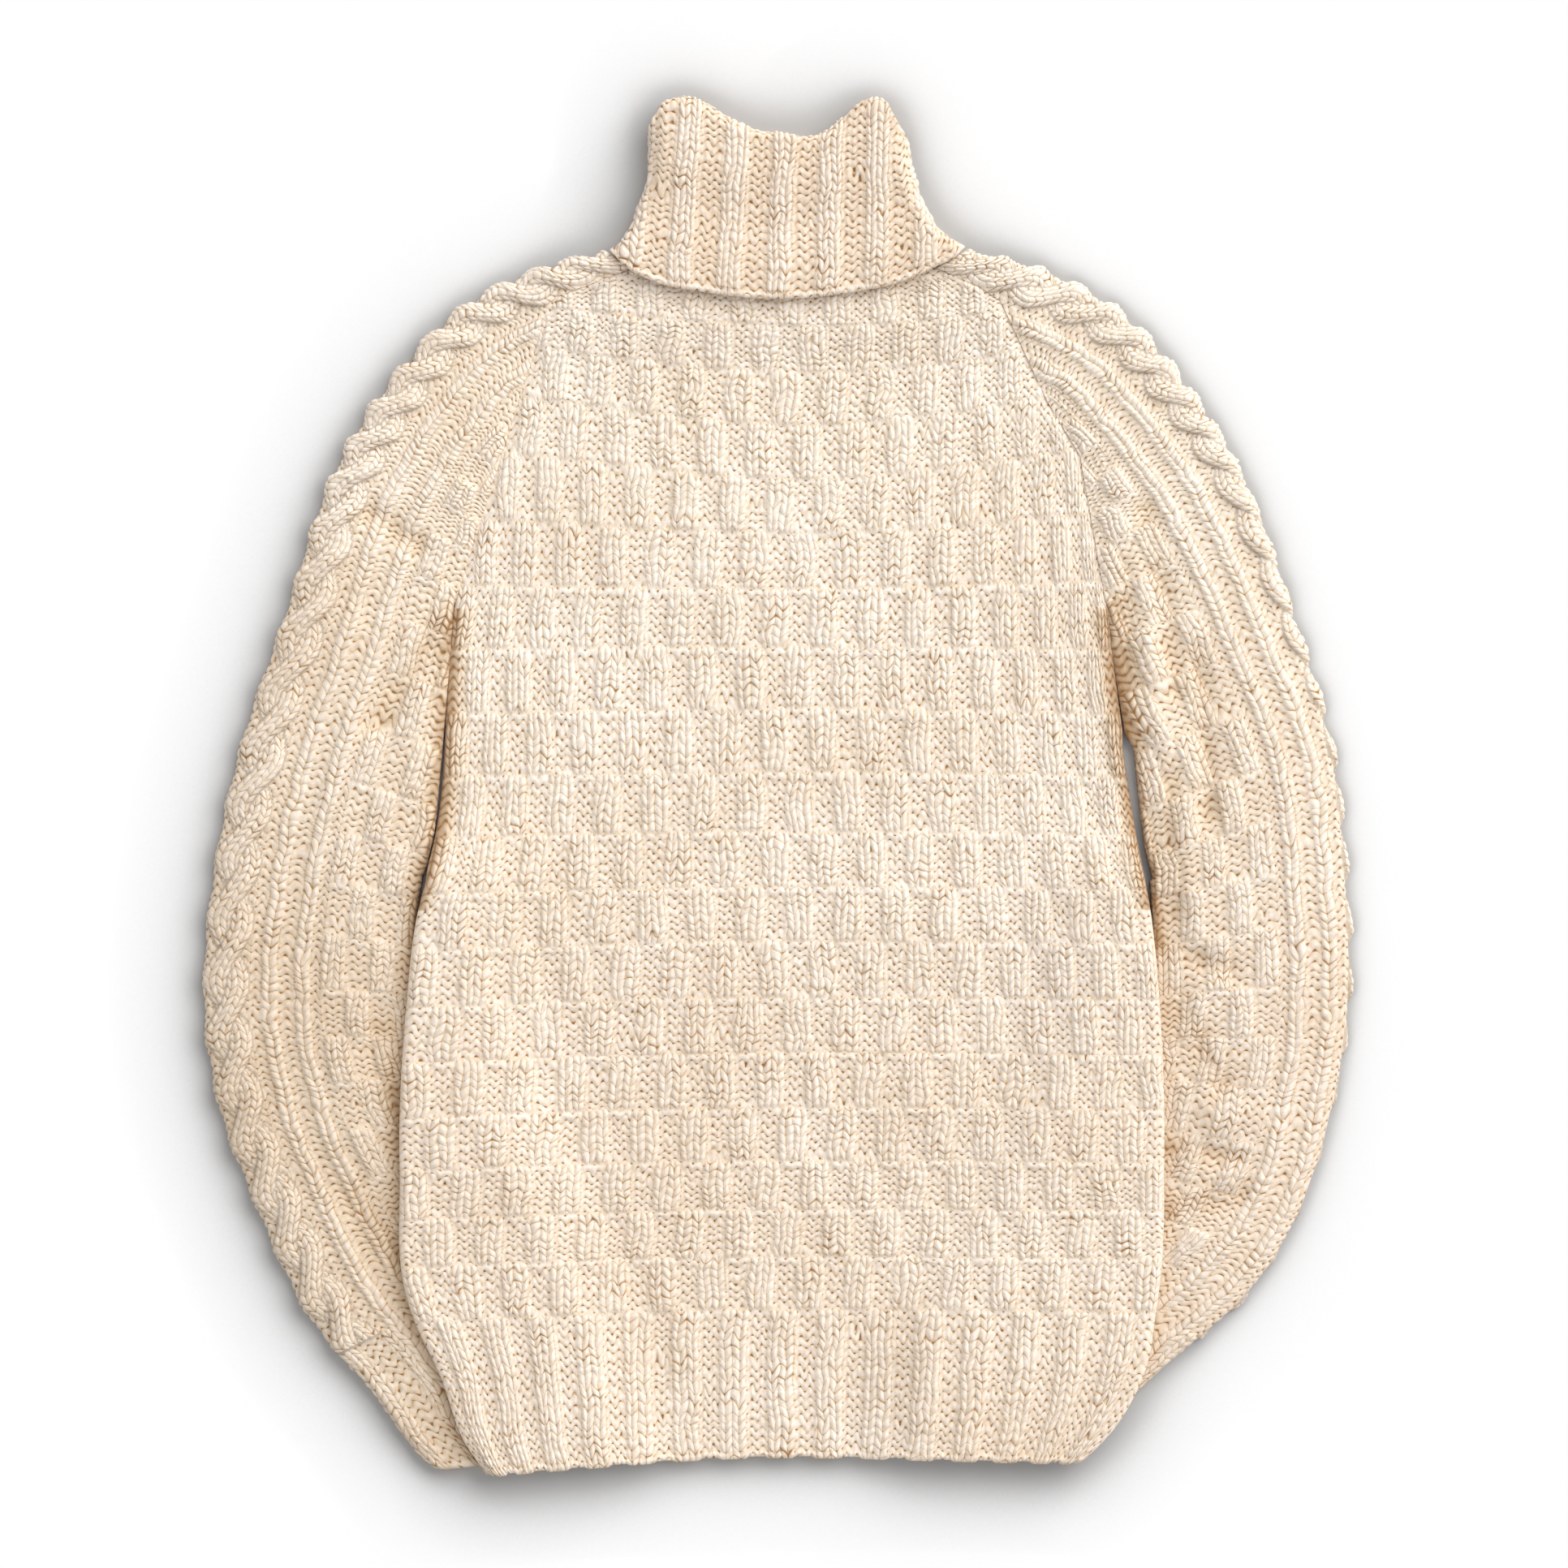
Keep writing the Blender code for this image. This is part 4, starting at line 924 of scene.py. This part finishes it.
def wool(node):
    """Undyed wool for a node, fuzzy: pale on the crown of each strand, with painted shade,
    browner, on its flanks, down between strands and wherever the per-vertex painted shade is low.
    Its tone runs from the shoulders to the hem, darker lower down and there partly painted shade."""
    colours = bpy.context.scene.aran_wool
    high, low = TONES_AND_SHADE[node]
    material = bpy.data.materials.new(node + "_wool")
    material.use_nodes = True
    tree = material.node_tree
    knitting = add(tree, "Attribute", attribute_name="knitting").outputs["Vector"]
    # painted shade: the per-vertex darkening of recesses, creases and gaps
    depth = add(tree, "Attribute", attribute_name="painted_shade").outputs["Fac"]
    at = add(tree, "TexCoord").outputs["Object"]
    slub = sums(tree, "MULTIPLY_ADD", noise(tree, at, SLUB_SCALE, 1), 1.3, -0.32)
    bridge = sums(tree, "MULTIPLY_ADD", noise(tree, at, FIBRE_SCALE, 1), 2.2, -1.0)
    stitch = stitch_height(tree, *add(tree, "SeparateXYZ", {0: knitting}).outputs, slub, bridge)

    # the ramp paints shade: from the crown's own colour down to browner flank and crevice colours
    # where stitch height and painted shade are low
    colour = ramp(tree, sums(tree, "MULTIPLY", stitch, depth), (
        (0.12, colours.crevice_shade), (0.78, colours.crown), (0.42, colours.yarn)))
    for scale, detail, dark, strength in MOTTLES:
        tint = ramp(tree, noise(tree, at, scale, detail), ((0.35, dark), (0.65, (1, 1, 1))))
        colour = multiplied(tree, colour, tint, strength)
    # tone from the shoulders to the hem, darker lower down and there partly painted shade
    y = add(tree, "SeparateXYZ", {0: at}).outputs["Y"]
    level = add(tree, "MapRange", {"Value": y, **TONE_LEVELS}).outputs["Result"]
    tone_and_shade = add(tree, "Mix", {"Factor": level, "A": (*low, 1), "B": (*high, 1)}, data_type="RGBA")
    colour = multiplied(tree, colour, tone_and_shade.outputs["Result"])

    relief = sums(tree, "MULTIPLY_ADD", noise(tree, at, FUZZ_SCALE, 5), 0.5, stitch)
    bump = add(tree, "Bump", {"Strength": 0.6, "Distance": 0.0009, "Height": relief})
    feed(tree, tree.nodes["Principled BSDF"], {
        "Base Color": colour, "Normal": bump.outputs["Normal"], "Roughness": 0.9,
        "Sheen Weight": 0.25, "Sheen Roughness": 0.5, "Specular IOR Level": 0.2})
    return material


# ---- settings

class SweaterSizes(bpy.types.PropertyGroup):
    """Sizes of the knitting"""
    yarn_relief: bpy.props.FloatProperty(
        name="Yarn relief", description="How far the crown of a strand stands over its edges",
        default=0.0018, min=0, soft_max=0.003, unit="LENGTH")
    block_relief: bpy.props.FloatProperty(
        name="Block relief", description="How far ribs and basket blocks stand out",
        default=0.0016, min=0, soft_max=0.004, unit="LENGTH")
    cable_relief: bpy.props.FloatProperty(
        name="Cable relief", description="How far the upper strand of the cable stands out",
        default=0.0034, min=0, soft_max=0.005, unit="LENGTH")
    valley: bpy.props.FloatProperty(
        name="Valley depth", description="How far the lowest yarn lies below the wall's face",
        default=0.0012, min=0, soft_max=0.002, unit="LENGTH")
    block_spread: bpy.props.FloatProperty(
        name="Block spread", description="Stitches that a knit block swells over its neighbour",
        default=0.17, min=0, max=0.4)


class SweaterWool(bpy.types.PropertyGroup):
    """Colours of the wool: its own colour on the crown, and painted shade on the flanks and down
    between the strands
    """
    crown: bpy.props.FloatVectorProperty(
        name="Crown", description="Wool on top of a strand",
        default=(0.985, 0.905, 0.825), subtype="COLOR", min=0, max=1)
    # painted shade on the flanks of the strands
    yarn: bpy.props.FloatVectorProperty(
        name="Yarn", description="Wool on the flank of a strand",
        default=(0.895, 0.76, 0.60), subtype="COLOR", min=0, max=1)
    # painted shade down between the strands
    crevice_shade: bpy.props.FloatVectorProperty(
        name="Crevice", description="Wool down between the strands",
        default=(0.38, 0.20, 0.07), subtype="COLOR", min=0, max=1)


class SweaterStage(bpy.types.PropertyGroup):
    """Floor, lights and camera"""
    floor: bpy.props.FloatVectorProperty(
        name="Floor", description="Colour of the floor",
        default=(0.875, 0.875, 0.875), subtype="COLOR", min=0, max=1)
    # painted shadow: how far the floor's darkening reaches round the sweater
    painted_shadow: bpy.props.FloatProperty(
        name="Contact shadow", description="How far the soft shadow round the sweater reaches",
        default=0.06, min=0, unit="LENGTH")
    key: bpy.props.FloatProperty(
        name="Key light", description="Strength of the soft light from the upper right",
        default=2.8, min=0)
    fill: bpy.props.FloatProperty(
        name="Fill light", description="Strength of the light from all round",
        default=0.65, min=0)
    view: bpy.props.FloatProperty(
        name="View width", description="Width of the floor that the camera takes in",
        default=0.966, min=0.1, unit="LENGTH")


# ---- operators

class SWEATER_OT_front(bpy.types.Operator):
    """Knit the front in three lengths: hem and lower body, middle, and yoke"""
    bl_idname = "sweater.front"
    bl_label = "Front"

    def execute(self, context):
        sizes = context.scene.aran_sizes
        place = functools.partial(front_place, sizes)
        for name, (low, high) in FRONT_PARTS.items():
            at_neck = high == NECK_ROW
            count = YOKE_COLUMNS if at_neck else 2 * HALF_STITCHES * PER_STITCH
            columns = np.linspace(0, 1, count + 1)
            rows = np.linspace(low, high, (high - low) * PER_ROW + 1)
            bm = bmesh.new()
            if at_neck:
                tops = neck_rows(columns)

                def yoke(across, row, rim):
                    top = np.interp(across, columns, tops)
                    late = np.maximum(row - YOKE_BEND, 0) / (NECK_ROW - YOKE_BEND)
                    row = np.minimum(row, YOKE_BEND) + late * (top - YOKE_BEND)
                    return place(across, row, rim)
                wall(bm, columns, rows, yoke, YOKE_INNER)
            else:
                wall(bm, columns, rows, place, FRONT_INNER)
            sharp = [row for row in (low, high) if 0 < row < NECK_ROW]
            piece = woollen(name, bm, "front", sharp)
        return {"FINISHED"}


class SWEATER_OT_back(bpy.types.Operator):
    """Knit the back, which lies face down beneath the front"""
    bl_idname = "sweater.back"
    bl_label = "Back"

    def execute(self, context):
        sizes = context.scene.aran_sizes
        columns = np.linspace(0, 1, BACK_COLUMNS + 1)
        rows = np.linspace(0, NECK_ROW, NECK_ROW + 1)

        def place(across, row, rim):
            x, y = back_point(across, row)
            column = (across - 0.5) * 2 * HALF_STITCHES
            rise, u, v, share, painted_shade, _ = body_pattern(column + 0.01, row + 0.01, sizes)
            lift = body_lift(x, y)
            dent = 0.35 * np.clip(sizes.block_relief / MM - rise, 0, 2)
            return x, y, np.where(rim, lift + WALL, lift + dent), u, v, share, painted_shade

        bm = bmesh.new()
        wall(bm, columns, rows, place, BACK_INNER)
        piece = woollen("back_panel", bm, "back")
        return {"FINISHED"}


def open_slit(bm, closed, width):
    """Remove the rim where a sleeve's inner edge is a closed fold."""
    bm.faces.ensure_lookup_table()
    shut = []
    for j, face in enumerate(bm.faces):
        row, column = divmod(j, width + 1)
        if column in (0, width) and 1 <= row < len(closed) and closed[row - 1] and closed[row]:
            shut.append(face)
    bmesh.ops.delete(bm, geom=shut, context="FACES")


class SWEATER_OT_sleeves(bpy.types.Operator):
    """Knit both sleeves, each a flattened tube with its cable along the outer fold"""
    bl_idname = "sweater.sleeves"
    bl_label = "Sleeves"

    def execute(self, context):
        sizes = context.scene.aran_sizes
        for side in ("left", "right"):
            place = functools.partial(sleeve_place, side, sizes)
            columns = np.arange(BANDS[side] + 1.0 + len(UNDERSIDE[1:]))
            rows = np.linspace(0, SLEEVE_END, SLEEVE_END * PER_ROW + 1)
            closed = ~sleeve_run(side, rows)[5]
            bm = bmesh.new()
            skin(bm, ringed(columns), ringed(rows), place)
            open_slit(bm, closed, len(columns))
            skin(bm, columns, rows, place, step=SLEEVE_INNER, plain=True)
            name = "sleeve_" + side
            piece = woollen(name + "_tube", bm, name)
        return {"FINISHED"}


class SWEATER_OT_collar(bpy.types.Operator):
    """Knit the collar, a tube of 2 x 2 rib folded down over itself"""
    bl_idname = "sweater.collar"
    bl_label = "Collar"

    def execute(self, context):
        sizes = context.scene.aran_sizes
        front, back = np.linspace(0, 1, COLLAR_ACROSS + 1), np.linspace(1, 0, COLLAR_BACK + 1)
        edge = np.concatenate([np.linspace(90, 0, 15), np.linspace(0, -90, 5)[1:]])
        columns = [(side, along) for side, places in enumerate((front, edge, back, edge[::-1]))
                   for along in places[:-1]]
        columns.append(columns[0])
        ups = np.linspace(0, COLLAR_FACE["up"][-1], COLLAR_UP + 1)
        [heights] = read(COLLAR_FACE, ups, "height")
        stations = [(0, up, 0, height, 1, 0, 0) for up, height in zip(ups, heights)]
        for roll in np.radians(np.linspace(0, 90, COLLAR_CREST + 1)[1:]):
            stations.append((0, 0.93 + 0.07 * np.sin(roll), 4.3 * (1 - np.cos(roll)),
                             14.4 + 5 * np.cos(roll), 1, 6.4 * roll, roll))
        stations += [(*station, 0, 0, 0) for station in COLLAR_WALL]
        stations.append(stations[0])
        columns, stations = np.array(columns, float), np.array(stations, float)

        def place(column, row, rim):
            return collar_place(sizes, *columns[column.astype(int)].T,
                                *stations[row.astype(int)].T)

        bm = bmesh.new()
        skin(bm, np.arange(len(columns)), np.arange(len(stations)), place)
        piece = woollen("collar_tube", bm, "collar")
        return {"FINISHED"}


# Painted shadow: the floor's colour darkens by ambient occlusion beside the sweater, on the side
# away from the key light
SHADOW_LEAN = (0.15, 0.15, 1)
SHADOW_GREYS = ((0.45, 0.60), (0.985, 1), (0.70, 0.56), (0.80, 0.60), (0.88, 0.72), (0.94, 0.88))
KEY_PLACE, KEY_SPREAD = (1.0, 1.0, 0.95), 60
CAMERA_PLACE, SENSOR = (0.00425, 0.0025, 6), 36


class SWEATER_OT_stage(bpy.types.Operator):
    """Set the pale floor, the soft lights and the camera straight above"""
    bl_idname = "sweater.stage"
    bl_label = "Stage"

    def execute(self, context):
        stage = context.scene.aran_stage
        bm = bmesh.new()
        bmesh.ops.create_grid(bm, x_segments=1, y_segments=1, size=4)
        mesh = bpy.data.meshes.new("floor")
        bm.to_mesh(mesh)
        bm.free()
        floor = put("floor", mesh)
        paper = bpy.data.materials.new("floor_paper")
        paper.use_nodes = True
        tree = paper.node_tree
        lean = add(tree, "CombineXYZ", dict(enumerate(Vector(SHADOW_LEAN).normalized())))
        # painted shadow: ambient occlusion darkens the floor's base colour
        painted_shadow = add(tree, "AmbientOcclusion", samples=16, inputs={
            "Distance": stage.painted_shadow, "Normal": lean.outputs[0]})
        greys = [(at, [share * value for value in stage.floor]) for at, share in SHADOW_GREYS]
        feed(tree, tree.nodes["Principled BSDF"], {
            "Base Color": ramp(tree, painted_shadow.outputs["AO"], greys),
            "Roughness": 0.95, "Specular IOR Level": 0.1})
        mesh.materials.append(paper)

        world = bpy.data.worlds.new("studio")
        world.use_nodes = True
        feed(world.node_tree, world.node_tree.nodes["Background"], {
            "Color": (1, 1, 1, 1), "Strength": stage.fill})
        context.scene.world = world

        lamp = bpy.data.lights.new("key", "SUN")
        lamp.energy = stage.key
        lamp.angle = np.radians(KEY_SPREAD)
        key = put("key", lamp)
        key.location = KEY_PLACE
        key.rotation_euler = (Vector(key.location) * -1).to_track_quat("-Z", "Y").to_euler()

        lens = bpy.data.cameras.new("camera")
        lens.sensor_width = SENSOR
        lens.lens = SENSOR * CAMERA_PLACE[2] / stage.view
        lens.clip_end = 50
        camera = put("camera", lens)
        camera.location = CAMERA_PLACE
        context.scene.camera = camera
        context.scene.view_settings.view_transform = "Standard"
        context.scene.view_settings.look = "None"
        return {"FINISHED"}


class SWEATER_PT_panel(bpy.types.Panel):
    """Sweater"""
    bl_label = "Aran Sweater"
    bl_idname = "SWEATER_PT_panel"
    bl_space_type = "VIEW_3D"
    bl_region_type = "UI"
    bl_category = "Sweater"

    def draw(self, context):
        for name, group in GROUPS.items():
            box = self.layout.box()
            for setting in group.__annotations__:
                box.prop(getattr(context.scene, name), setting)
        for step in STEPS:
            self.layout.operator(step.bl_idname)


STEPS = (SWEATER_OT_stage, SWEATER_OT_back, SWEATER_OT_sleeves, SWEATER_OT_front,
         SWEATER_OT_collar)
GROUPS = {"aran_sizes": SweaterSizes, "aran_wool": SweaterWool, "aran_stage": SweaterStage}


def register():
    for cls in (*GROUPS.values(), *STEPS, SWEATER_PT_panel):
        bpy.utils.register_class(cls)
    for name, group in GROUPS.items():
        setattr(bpy.types.Scene, name, bpy.props.PointerProperty(type=group))


def unregister():
    for name in GROUPS:
        delattr(bpy.types.Scene, name)
    for cls in (SWEATER_PT_panel, *reversed(STEPS), *reversed(GROUPS.values())):
        bpy.utils.unregister_class(cls)


def main():
    register()
    bpy.ops.sweater.stage()
    bpy.ops.sweater.back()
    bpy.ops.sweater.sleeves()
    bpy.ops.sweater.front()
    bpy.ops.sweater.collar()


if __name__ == "__main__":
    main()
